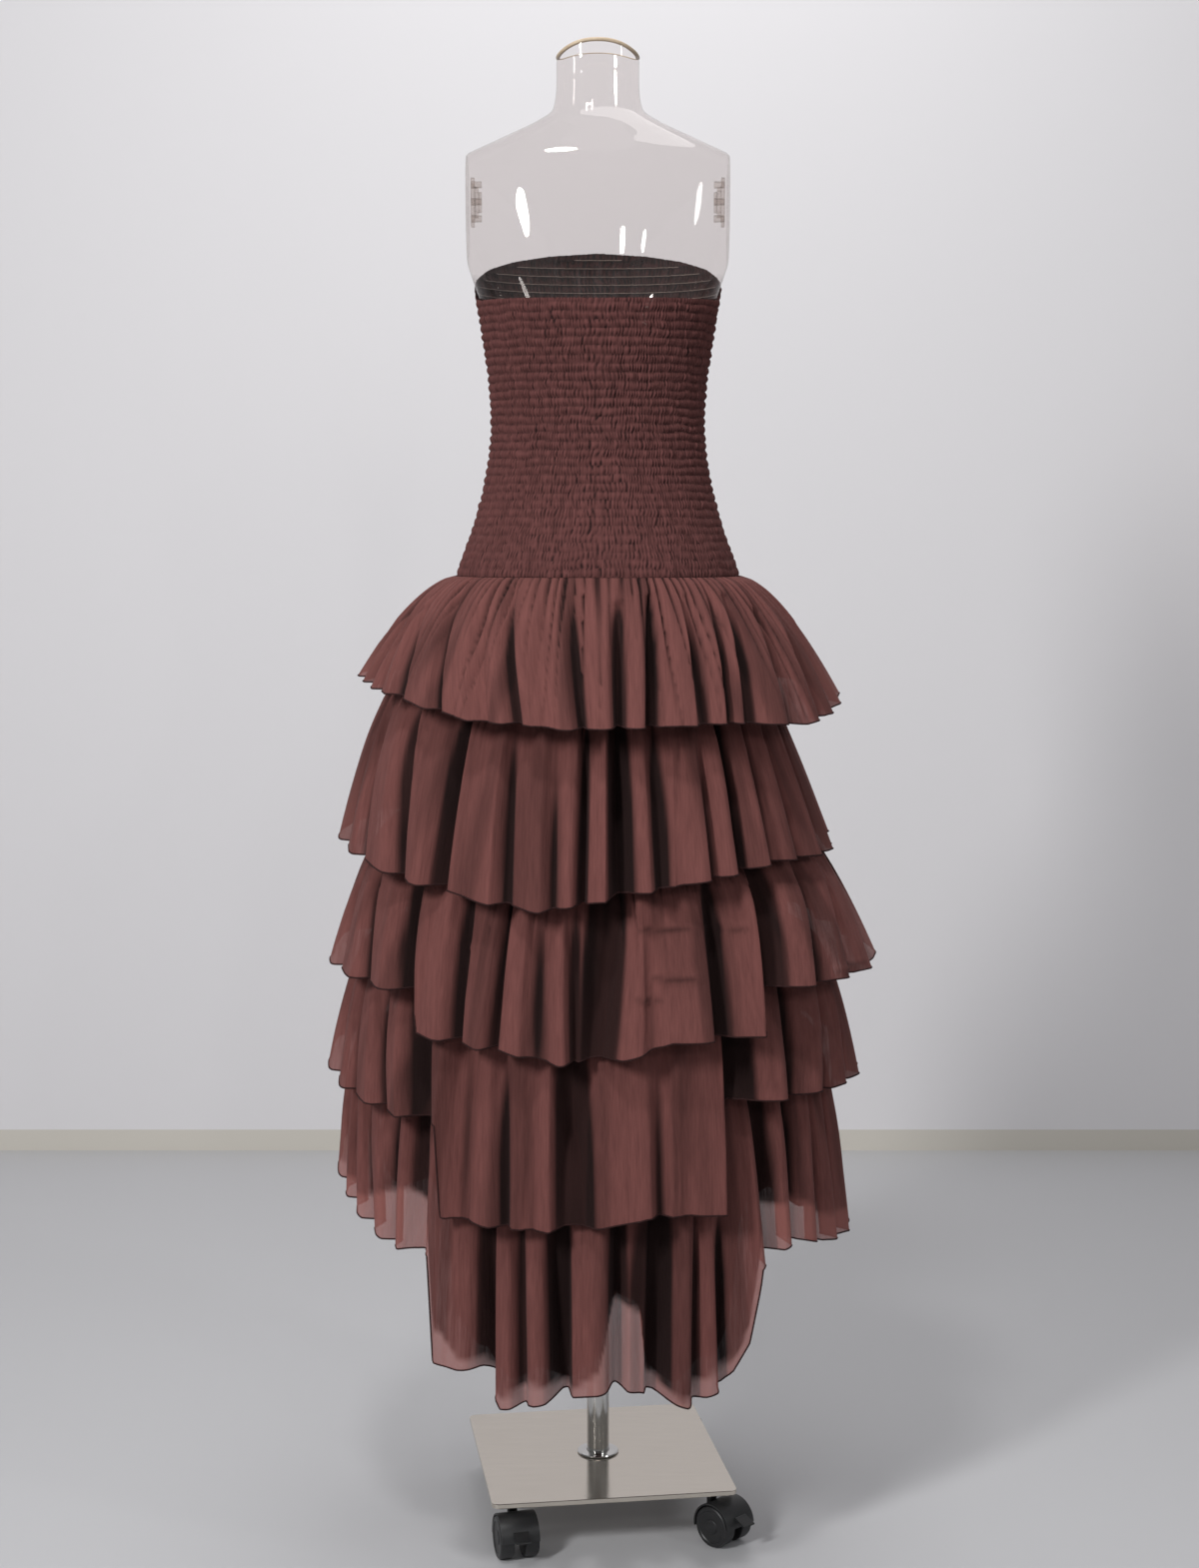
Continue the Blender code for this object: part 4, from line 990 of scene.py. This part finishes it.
def ruffle_half(number, half, first_angle, line, cut, seed):
    """Half a ruffle with its rolled hem."""
    seam, hem, following, length = line
    rows, flat, area, creases = cut
    columns = []
    for column in range(RUFFLE_COLUMNS + 1):
        angle = first_angle + 180 * column / RUFFLE_COLUMNS
        near = [valley for valley in rows if abs(angle - valley.angle) < valley.half_width]
        shares = [(angle - valley.angle) / valley.half_width for valley in near]
        lean = between(rows, "angle", angle, "lean")
        calm = min(angle - first_angle, first_angle + 180 - angle, CALM_WIDTH) / CALM_WIDTH
        columns.append((angle, list(zip(near, shares)), lean, panel_stand(rows, angle) * calm, calm))
    points, painted_shades, sheers = [], [], []
    for row in range(RUFFLE_ROWS + 1):
        level = row / RUFFLE_ROWS
        line = []
        for angle, near, lean, stand, calm in columns:
            deep, shift = -stand * level**0.6, lean * (1 - level) * calm
            for valley, share in near:
                grown = (max(level - valley.top, 0) / (1 - valley.top)) ** 0.55
                off = share + (SKEW if valley.left + valley.right > 0 else -SKEW) * (1 - share * share)
                section = ((1 + math.cos(math.pi * off)) / 2) ** 0.5
                deep += valley.depth * grown * (1 - 0.3 * level**3) * section
                shift -= PINCH * valley.half_width * math.sin(math.pi * share) * grown
            point, painted_shade = ruffle_point(seam, hem, angle + shift, level, deep, calm, seed, length, following)
            raised = pressed(creases, angle, point)
            outward = Vector((point.x, point.y, 0)).normalized() * raised
            # Painted shade also darkens the cloth along each pressed crease.
            line.append((point + outward, max(painted_shade, abs(raised) * PRESSED_PAINTED_SHADE)))
        points.append([point for point, painted_shade in line])
        painted_shades.append([painted_shade for point, painted_shade in line])
        sheers.append([sheer_share(column[0], level, point.z) for column, point in zip(columns, points[-1])])
    along = [0.0]
    for a, b in zip(points[-1], points[-1][1:]):
        along.append(along[-1] + (b - a).length)
    marks = [[(place, row / RUFFLE_ROWS * flat[1]) for place in along] for row in range(RUFFLE_ROWS + 1)]
    name = f"tier_{number}_{half}_cloth"
    mesh = sheet_mesh(name, points, marks, painted_shades=painted_shades, sheers=sheers)
    cloth = mesh_piece(name, mesh, ruffle_cloth, STAND, [f"tier_{number}_{half}"])
    edge = hem_cord(name + "_hem", points[-1], HEM_RADIUS)


def ruffle(number, seam, hem, back, front, following=None, length=GATHER_LENGTH):
    """A whole ruffle, in two halves joined at the sides. Following is the ruffle that hangs beneath it, and
    length how far down its gathering creases run, as a share of it."""
    line = (seam, hem, following, length)
    ruffle_half(number, "back", -90, line, back, 10.0 * number)
    ruffle_half(number, "front", 90, line, front, 10.0 * number + 1)


TIER_5_SEAM = Seam(back=0.530, side=0.625, front=0.672, dip=5.0, depth_ratio=0.90)
TIER_5_BACK = valleys(
    (-78.0, 2.8, 16, 0.25, -6, 3, -4), (-70.0, 2.8, 20, 0.15, -10, 4, -4),
    (-61.0, 3.2, 24, 0.20, -12, 4, -5), (-52.2, 3.0, 19, 0.10, -5, 4, -4),
    (-43.5, 3.6, 42, 0.00, -3, 7, -5), (-26.6, 4.2, 46, 0.05, -2, 6, -6),
    (-17.5, 2.8, 17, 0.00, -3, 4, -5), (-9.5, 4.0, 56, 0.00, -2, 7, -7),
    (3.0, 3.2, 36, 0.00, 1, 3, -8), (8.9, 5.0, 22, 0.20, 1, -6, -4),
    (15.1, 4.0, 50, 0.00, 2, -4, 6), (20.7, 2.8, 17, 0.20, 3, 4, -4),
    (27.5, 3.0, 19, 0.40, 1, 3, -5), (40.2, 4.0, 48, 0.00, 1, 6, -6),
    (47.3, 3.0, 31, 0.10, 5, 5, -6), (56.9, 3.0, 22, 0.20, 7, 4, -4),
    (67.0, 3.0, 24, 0.10, 6, 4, -5), (78.5, 2.8, 18, 0.25, 3, 3, -3),
)
TIER_5_FRONT = valleys(
    (105.0, 3.6, 22, 0.10, 2, -7, 5), (118.0, 3.0, 31, 0.00, -1, 4, -5),
    (129.0, 3.4, 17, 0.20, 1, -6, -4), (142.0, 5.0, 43, 0.00, -2, 4, -6),
    (156.0, 3.0, 19, 0.10, 1, 4, -4), (168.0, 3.6, 34, 0.00, 0, 7, -5),
    (181.0, 2.8, 17, 0.30, -1, -4, 5), (193.0, 4.6, 41, 0.05, 2, -4, 6),
    (207.0, 3.2, 22, 0.10, -2, 6, -6), (219.0, 3.4, 31, 0.00, 1, -3, 8),
    (232.0, 3.6, 17, 0.20, -1, 6, -6), (244.0, 4.2, 34, 0.05, 2, 3, -8),
    (257.0, 3.2, 17, 0.30, 0, -5, 6),
)
back = Cut(TIER_5_BACK, (1.45, 0.33), 0.355)
front = Cut(TIER_5_FRONT, (1.21, 0.20), 0.230)
ruffle(5, TIER_5_SEAM, TIER_5_HEM, back, front)

# Ruffle 4
# The fourth ruffle, of the same voile, is gathered and sewn on the underskirt above the last one. It steps
# up sharply at both sides of its deep back.
TIER_4_SEAM = Seam(back=0.700, side=0.750, front=0.790, dip=3.0, depth_ratio=0.89)
TIER_4_HEM = hem_line(
    (-90, 583, 331, 0.33), (-67, 563, 327, 0.40), (-36, 547, 324, 0.50), (-34.2, 442, 322, 0.55),
    (-17, 435, 320, 0.60), (0, 438, 320, 0.62), (10, 452, 320, 0.60), (28.5, 450, 322, 0.58),
    (30.5, 575, 322, 0.52), (90, 569, 323, 0.45), (135, 620, 315, 0.50), (180, 640, 308, 0.52),
    (225, 625, 316, 0.42), (270, 583, 331, 0.33),
)
TIER_4_BACK = valleys(
    (-78.0, 2.8, 14, 0.30, -6, 3, -3), (-66.5, 3.0, 20, 0.20, -10, 4, -4),
    (-53.6, 3.2, 26, 0.30, -13, 4, -5), (-40.9, 4.4, 50, 0.05, -8, 7, -6),
    (-29.7, 3.2, 22, 0.00, -2, 6, -3), (-21.3, 3.4, 14, 0.30, -4, 4, -5),
    (-15.0, 3.2, 17, 0.00, -1, 5, -4), (-4.3, 5.6, 63, 0.00, -2, 8, -4),
    (12.2, 3.2, 12, 0.20, 1, 3, -4), (18.7, 3.0, 10, 0.40, 3, 3, -2),
    (32.1, 5.4, 60, 0.00, 5, 8, -7), (44.1, 3.2, 26, 0.10, 8, 5, -6),
    (56.0, 3.2, 17, 0.30, 14, 3, -3), (68.0, 3.0, 20, 0.20, 10, 4, -4),
    (80.0, 2.8, 14, 0.30, 4, 3, -3),
)
TIER_4_FRONT = valleys(
    (102.0, 3.4, 24, 0.00, 0, -6, 3), (114.0, 3.0, 17, 0.20, 1, 5, -4),
    (127.0, 5.0, 43, 0.00, -1, 3, -2), (141.0, 3.2, 22, 0.10, 2, -8, 7),
    (151.0, 2.8, 31, 0.00, -1, 6, -3), (165.0, 3.6, 17, 0.30, 1, 8, -4),
    (176.0, 4.8, 48, 0.00, -2, -4, 5), (190.0, 3.0, 19, 0.10, 1, 4, -5),
    (203.0, 3.4, 34, 0.05, 0, 4, -5), (215.0, 3.2, 17, 0.20, -1, -5, 6),
    (228.0, 5.0, 41, 0.00, 2, 5, -6), (243.0, 3.2, 24, 0.10, -2, 7, -6),
    (256.0, 3.2, 17, 0.30, 1, -5, 4),
)
back = Cut(TIER_4_BACK, (1.41, 0.29), 0.295)
front = Cut(TIER_4_FRONT, (1.22, 0.19), 0.210)
ruffle(4, TIER_4_SEAM, TIER_4_HEM, back, front, Following(TIER_5_SEAM, TIER_5_HEM))

# Ruffle 3
# The third ruffle, of the same voile, is gathered and sewn on the underskirt. It still shows the square
# creases of its folding in a bag.
TIER_3_SEAM = Seam(back=0.845, side=0.892, front=0.925, dip=1.6, depth_ratio=0.86)
TIER_3_HEM = hem_line(
    (-90, 709, 327, 0.48), (-43.4, 697, 326, 0.55), (-41.4, 651, 325, 0.55), (-24, 643, 324, 0.60),
    (-8, 628, 324, 0.65), (5, 632, 325, 0.65), (15, 652, 328, 0.62), (34.5, 654, 334, 0.60),
    (38.5, 704, 339, 0.58), (90, 710, 344, 0.66), (135, 750, 325, 0.64), (180, 762, 310, 0.60),
    (225, 745, 316, 0.55), (270, 709, 327, 0.48),
)
TIER_3_BACK = valleys(
    (-76.0, 2.8, 14, 0.40, -8, 3, -3), (-60.3, 3.0, 24, 0.20, -14, 3, -6),
    (-46.2, 3.8, 48, 0.00, -10, 7, -8), (-32.5, 3.0, 20, 0.05, -5, 5, -7),
    (-23.2, 2.0, 22, 0.00, 0, 6, -7), (-12.1, 4.0, 22, 0.00, -2, 4, -3),
    (-5.8, 2.0, 19, 0.10, -2, 5, -6), (0.8, 5.0, 63, 0.00, 7, 7, -4),
    (10.1, 3.2, 10, 0.30, 2, 2, -2), (24.9, 4.0, 24, 0.00, 3, 6, -7),
    (39.2, 4.6, 63, 0.00, 7, 8, -6), (49.1, 3.2, 19, 0.20, 12, 4, -5),
    (61.1, 3.2, 14, 0.40, 14, 3, -3), (74.0, 3.0, 18, 0.25, 10, 4, -4),
)
TIER_3_FRONT = valleys(
    (104.0, 3.2, 22, 0.10, 1, -5, 7), (116.0, 4.6, 41, 0.00, -1, 4, -3),
    (130.0, 2.8, 17, 0.20, 2, 2, -2), (139.0, 3.4, 29, 0.00, 0, -6, 7),
    (153.0, 3.0, 22, 0.10, 1, 7, -8), (164.0, 5.0, 50, 0.00, -1, 4, -3),
    (178.0, 2.8, 17, 0.30, 2, -5, 7), (188.0, 3.2, 31, 0.05, -1, 4, -5),
    (201.0, 3.6, 24, 0.00, 1, 7, -8), (214.0, 5.2, 46, 0.00, -2, -6, 7),
    (226.0, 3.0, 17, 0.20, 1, 2, -2), (238.0, 3.4, 29, 0.10, 0, 4, -5),
    (251.0, 3.8, 22, 0.30, -1, -5, 7),
)
PACKING_CREASES = (
    Crease(14.5, 8.0, 0.775, 0.0034),
    Crease(29.0, 4.5, 0.772, 0.0028),
    Crease(16.5, 5.5, 0.722, 0.0034),
    Crease(10.0, 3.5, 0.699, 0.0028),
    Crease(62.0, 8.0, 0.715, 0.0030),
    Crease(-29.0, 4.0, 0.752, 0.0020),
)
back = Cut(TIER_3_BACK, (1.31, 0.28), 0.280, PACKING_CREASES)
front = Cut(TIER_3_FRONT, (1.22, 0.21), 0.230)
ruffle(3, TIER_3_SEAM, TIER_3_HEM, back, front, Following(TIER_4_SEAM, TIER_4_HEM))

# Ruffle 2
# The second ruffle, of the same voile, is gathered and sewn on the underskirt beneath the first. Its seam
# dips toward the back.
TIER_2_SEAM = Seam(back=1.045, side=1.078, front=1.080, dip=1.6, depth_ratio=0.86)
TIER_2_HEM = hem_line(
    (-90, 863, 315, 0.42), (-54, 832, 310, 0.50), (-40, 820, 306, 0.60), (-13, 799, 300, 0.70),
    (20, 829, 300, 0.75), (45, 846, 290, 0.85), (90, 845, 288, 0.90), (135, 875, 285, 0.75),
    (180, 892, 285, 0.70), (225, 880, 298, 0.55), (270, 863, 315, 0.42),
)
TIER_2_BACK = valleys(
    (-80.0, 2.8, 14, 0.45, -5, 3, -3), (-67.7, 3.4, 19, 0.30, -14, 3, -4),
    (-51.2, 3.2, 26, 0.10, -14, 2, -6), (-40.6, 4.4, 30, 0.00, -2, 6, -8),
    (-21.2, 2.2, 31, 0.05, -3, 7, -6), (-11.2, 3.0, 12, 0.25, -2, 4, -4),
    (-4.6, 2.4, 26, 0.10, 1, 5, -7), (5.9, 4.2, 63, 0.00, 0, 7, -6),
    (13.2, 4.0, 19, 0.00, 1, 3, -4), (18.3, 2.6, 12, 0.35, 4, 3, -2),
    (26.4, 2.6, 12, 0.30, 3, 4, -5), (34.0, 3.4, 36, 0.05, 4, 7, -8),
    (44.0, 3.0, 26, 0.10, 6, 6, -7), (54.8, 3.2, 17, 0.30, 4, 3, -4),
    (68.0, 3.0, 18, 0.20, 3, 4, -4), (80.0, 2.8, 12, 0.40, 1, 3, -3),
)
TIER_2_FRONT = valleys(
    (101.0, 3.6, 19, 0.20, -1, -6, 8), (112.0, 4.2, 34, 0.00, 2, 3, -3),
    (125.0, 3.0, 17, 0.10, -2, 5, -7), (133.0, 3.2, 31, 0.05, 1, -7, 6),
    (147.0, 5.0, 46, 0.00, -1, 6, -7), (158.0, 2.6, 14, 0.30, 2, 2, -6),
    (169.0, 3.4, 29, 0.10, 0, -3, 4), (181.0, 3.0, 19, 0.00, 1, 5, -7),
    (191.0, 4.8, 48, 0.00, -1, 3, -2), (206.0, 2.8, 22, 0.15, 2, -4, 4),
    (217.0, 3.4, 31, 0.00, -1, 2, -6), (229.0, 4.2, 19, 0.30, 1, 3, -3),
    (241.0, 3.0, 29, 0.10, -2, -7, 8), (255.0, 3.4, 17, 0.20, 1, 3, -2),
)
back = Cut(TIER_2_BACK, (1.17, 0.27), 0.280)
front = Cut(TIER_2_FRONT, (1.15, 0.23), 0.245)
ruffle(2, TIER_2_SEAM, TIER_2_HEM, back, front, Following(TIER_3_SEAM, TIER_3_HEM))

# Ruffle 1
# The first ruffle, of the same voile, is gathered into the seam between bodice and underskirt and hides it.
# Its gathering creases run far down, and its hem flutes most.
TIER_1_SEAM = Seam(back=1.174, side=1.174, front=1.174, dip=1.6, depth_ratio=0.83)
TIER_1_HEM = hem_line(
    (-90, 1057, 288, 0.65), (-56, 1036, 288, 0.65), (-30, 1014, 290, 0.70), (-5, 1005, 290, 0.75),
    (32, 1010, 292, 0.70), (58, 1003, 294, 0.65), (90, 1031, 296, 0.65), (135, 1045, 285, 0.70),
    (180, 1052, 275, 0.75), (225, 1050, 282, 0.70), (270, 1057, 288, 0.65),
)
LONG_GATHERS = 0.30
TIER_1_BACK = valleys(
    (-82.0, 2.8, 16, 0.30, -6, 3, -4), (-74.5, 3.0, 22, 0.15, -10, 4, -5),
    (-66.0, 2.6, 14, 0.40, -12, 3, -3), (-56.0, 3.4, 24, 0.25, -14, 4, -3),
    (-41.7, 2.6, 14, 0.00, -14, 3, -4), (-27.5, 2.6, 12, 0.20, -12, 5, -3),
    (-20.3, 3.0, 17, 0.05, -11, 4, -5), (-12.3, 2.6, 10, 0.30, -7, 3, -2),
    (-4.7, 2.6, 19, 0.10, -5, 5, -5), (4.2, 2.6, 34, 0.15, 0, 4, -6),
    (11.6, 3.0, 34, 0.10, 4, 6, -7), (25.7, 3.2, 26, 0.10, 3, 5, -4),
    (31.2, 2.6, 19, 0.00, 8, 3, -5), (38.6, 3.6, 31, 0.10, 9, 6, -4),
    (50.1, 3.2, 24, 0.20, 9, 4, -6), (63.4, 3.0, 17, 0.40, 7, 3, -3),
    (72.0, 2.8, 20, 0.25, 6, 4, -4), (81.5, 2.8, 14, 0.35, 3, 3, -3),
)
TIER_1_FRONT = valleys(
    (103.0, 4.0, 24, 0.00, -2, -5, 3), (117.0, 2.8, 17, 0.10, 1, 3, -2),
    (126.0, 3.4, 29, 0.05, 0, 6, -7), (138.0, 2.6, 14, 0.30, -1, -5, 4),
    (149.0, 4.6, 41, 0.00, 2, 4, -3), (163.0, 3.0, 19, 0.20, -2, 4, -5),
    (171.0, 2.6, 26, 0.00, 1, -3, 4), (186.0, 4.2, 36, 0.10, -1, 3, -5),
    (197.0, 3.0, 17, 0.25, 2, 3, -3), (209.0, 3.2, 29, 0.00, 0, -6, 7),
    (222.0, 4.4, 22, 0.10, 1, 5, -5), (231.0, 2.8, 34, 0.05, -1, 5, -4),
    (243.0, 3.2, 17, 0.30, 2, -4, 3), (256.0, 3.6, 24, 0.10, -1, 3, -4),
)
back = Cut(TIER_1_BACK, (1.08, 0.21), 0.185)
front = Cut(TIER_1_FRONT, (1.08, 0.17), 0.155)
ruffle(1, TIER_1_SEAM, TIER_1_HEM, back, front, Following(TIER_2_SEAM, TIER_2_HEM), LONG_GATHERS)

# Stage
# A pale grey studio floor that meets an off-white wall, lit softly from above the camera and from both
# sides.
WALL_BEHIND = 1.755
SKIRTING = 0.042
SKIRTING_DEPTH = 0.008


def plain(name, low, high, rough, scale, one_sided=False):
    """Paint with faint clouds. A one-sided surface can be looked through from behind."""
    material = new_material(name)
    shader = grained(material, scale, detail=3.0, tones=(low, high), fixed={"Roughness": rough})
    if one_sided:
        behind = node(material, "NewGeometry", {}).outputs["Backfacing"]
        gone = node(material, "BsdfTransparent", {})
        shader = node(material, "MixShader", {0: behind, 1: shader.outputs[0], 2: gone.outputs[0]})
    return finish_material(material, shader)


def panel(name, corners, material):
    mesh = bpy.data.meshes.new(name)
    mesh.from_pydata(corners, [], [(0, 1, 2, 3)])
    mesh.materials.append(material)
    made = bpy.data.objects.new(name, mesh)
    scene.collection.objects.link(made)
    return made


floor_corners = [(-6, -6, 0), (6, -6, 0), (6, WALL_BEHIND, 0), (-6, WALL_BEHIND, 0)]


def upright(place, height):
    return [(-6, place, 0), (6, place, 0), (6, place, height), (-6, place, height)]


floor = panel("floor", floor_corners, plain("studio_floor", "#BBBBBD", "#BEBEC0", 0.45, 1.5))
wall_paint = plain("studio_wall", "#E4E2E4", "#E6E4E6", 0.9, 0.8, one_sided=True)
wall = panel("wall", upright(WALL_BEHIND, 5), wall_paint)
skirting_paint = plain("skirting_paint", "#CFCAC0", "#D6D1C8", 0.6, 2.0, one_sided=True)
skirting = panel("skirting", upright(WALL_BEHIND - SKIRTING_DEPTH, SKIRTING), skirting_paint)

world = bpy.data.worlds.new("studio")
scene.world = world
world.use_nodes = True
sky = world.node_tree.nodes["Background"].inputs
sky["Color"].default_value = colour("#F2F3F6")
sky["Strength"].default_value = 0.25

Lamp = namedtuple("Lamp", "name place aim width height power")
LAMPS = (
    Lamp("key", (-1.75, -2.45, 2.3), (0, 0, 0.95), 0.4, 1.0, 66),
    Lamp("small_near", (0.45, -3.1, 1.95), (0, 0, 1.2), 0.12, 0.4, 4),
    Lamp("small_right", (1.0, -2.9, 1.9), (0, 0, 1.2), 0.10, 0.3, 3),
    Lamp("side", (2.4, -1.6, 2.2), (0, 0, 1.0), 0.3, 0.9, 9),
    Lamp("above", (-0.4, -1.3, 3.4), (0, 0, 0.8), 0.4, 0.3, 22),
    Lamp("back_wall", (0.2, 0.6, 3.5), (0, 0.6, 0), 2.6, 1.4, 30),
)
for lamp in LAMPS:
    data = bpy.data.lights.new(lamp.name, "AREA")
    data.shape = "ELLIPSE"
    data.size = lamp.width
    data.size_y = lamp.height
    data.energy = lamp.power
    made = bpy.data.objects.new(lamp.name, data)
    made.location = lamp.place
    made.rotation_euler = (Vector(lamp.aim) - Vector(lamp.place)).to_track_quat("-Z", "Y").to_euler()
    scene.collection.objects.link(made)

# Camera
# It stands behind the dress at chest height and looks slightly down.
camera_data = bpy.data.cameras.new("camera")
camera_data.lens = 55.73
camera_data.sensor_width = 36
camera = bpy.data.objects.new("camera", camera_data)
camera.location = (0.002, -2.97, 1.236)
camera.rotation_euler = (math.radians(90 - 6.1), 0, 0)
scene.collection.objects.link(camera)
scene.camera = camera
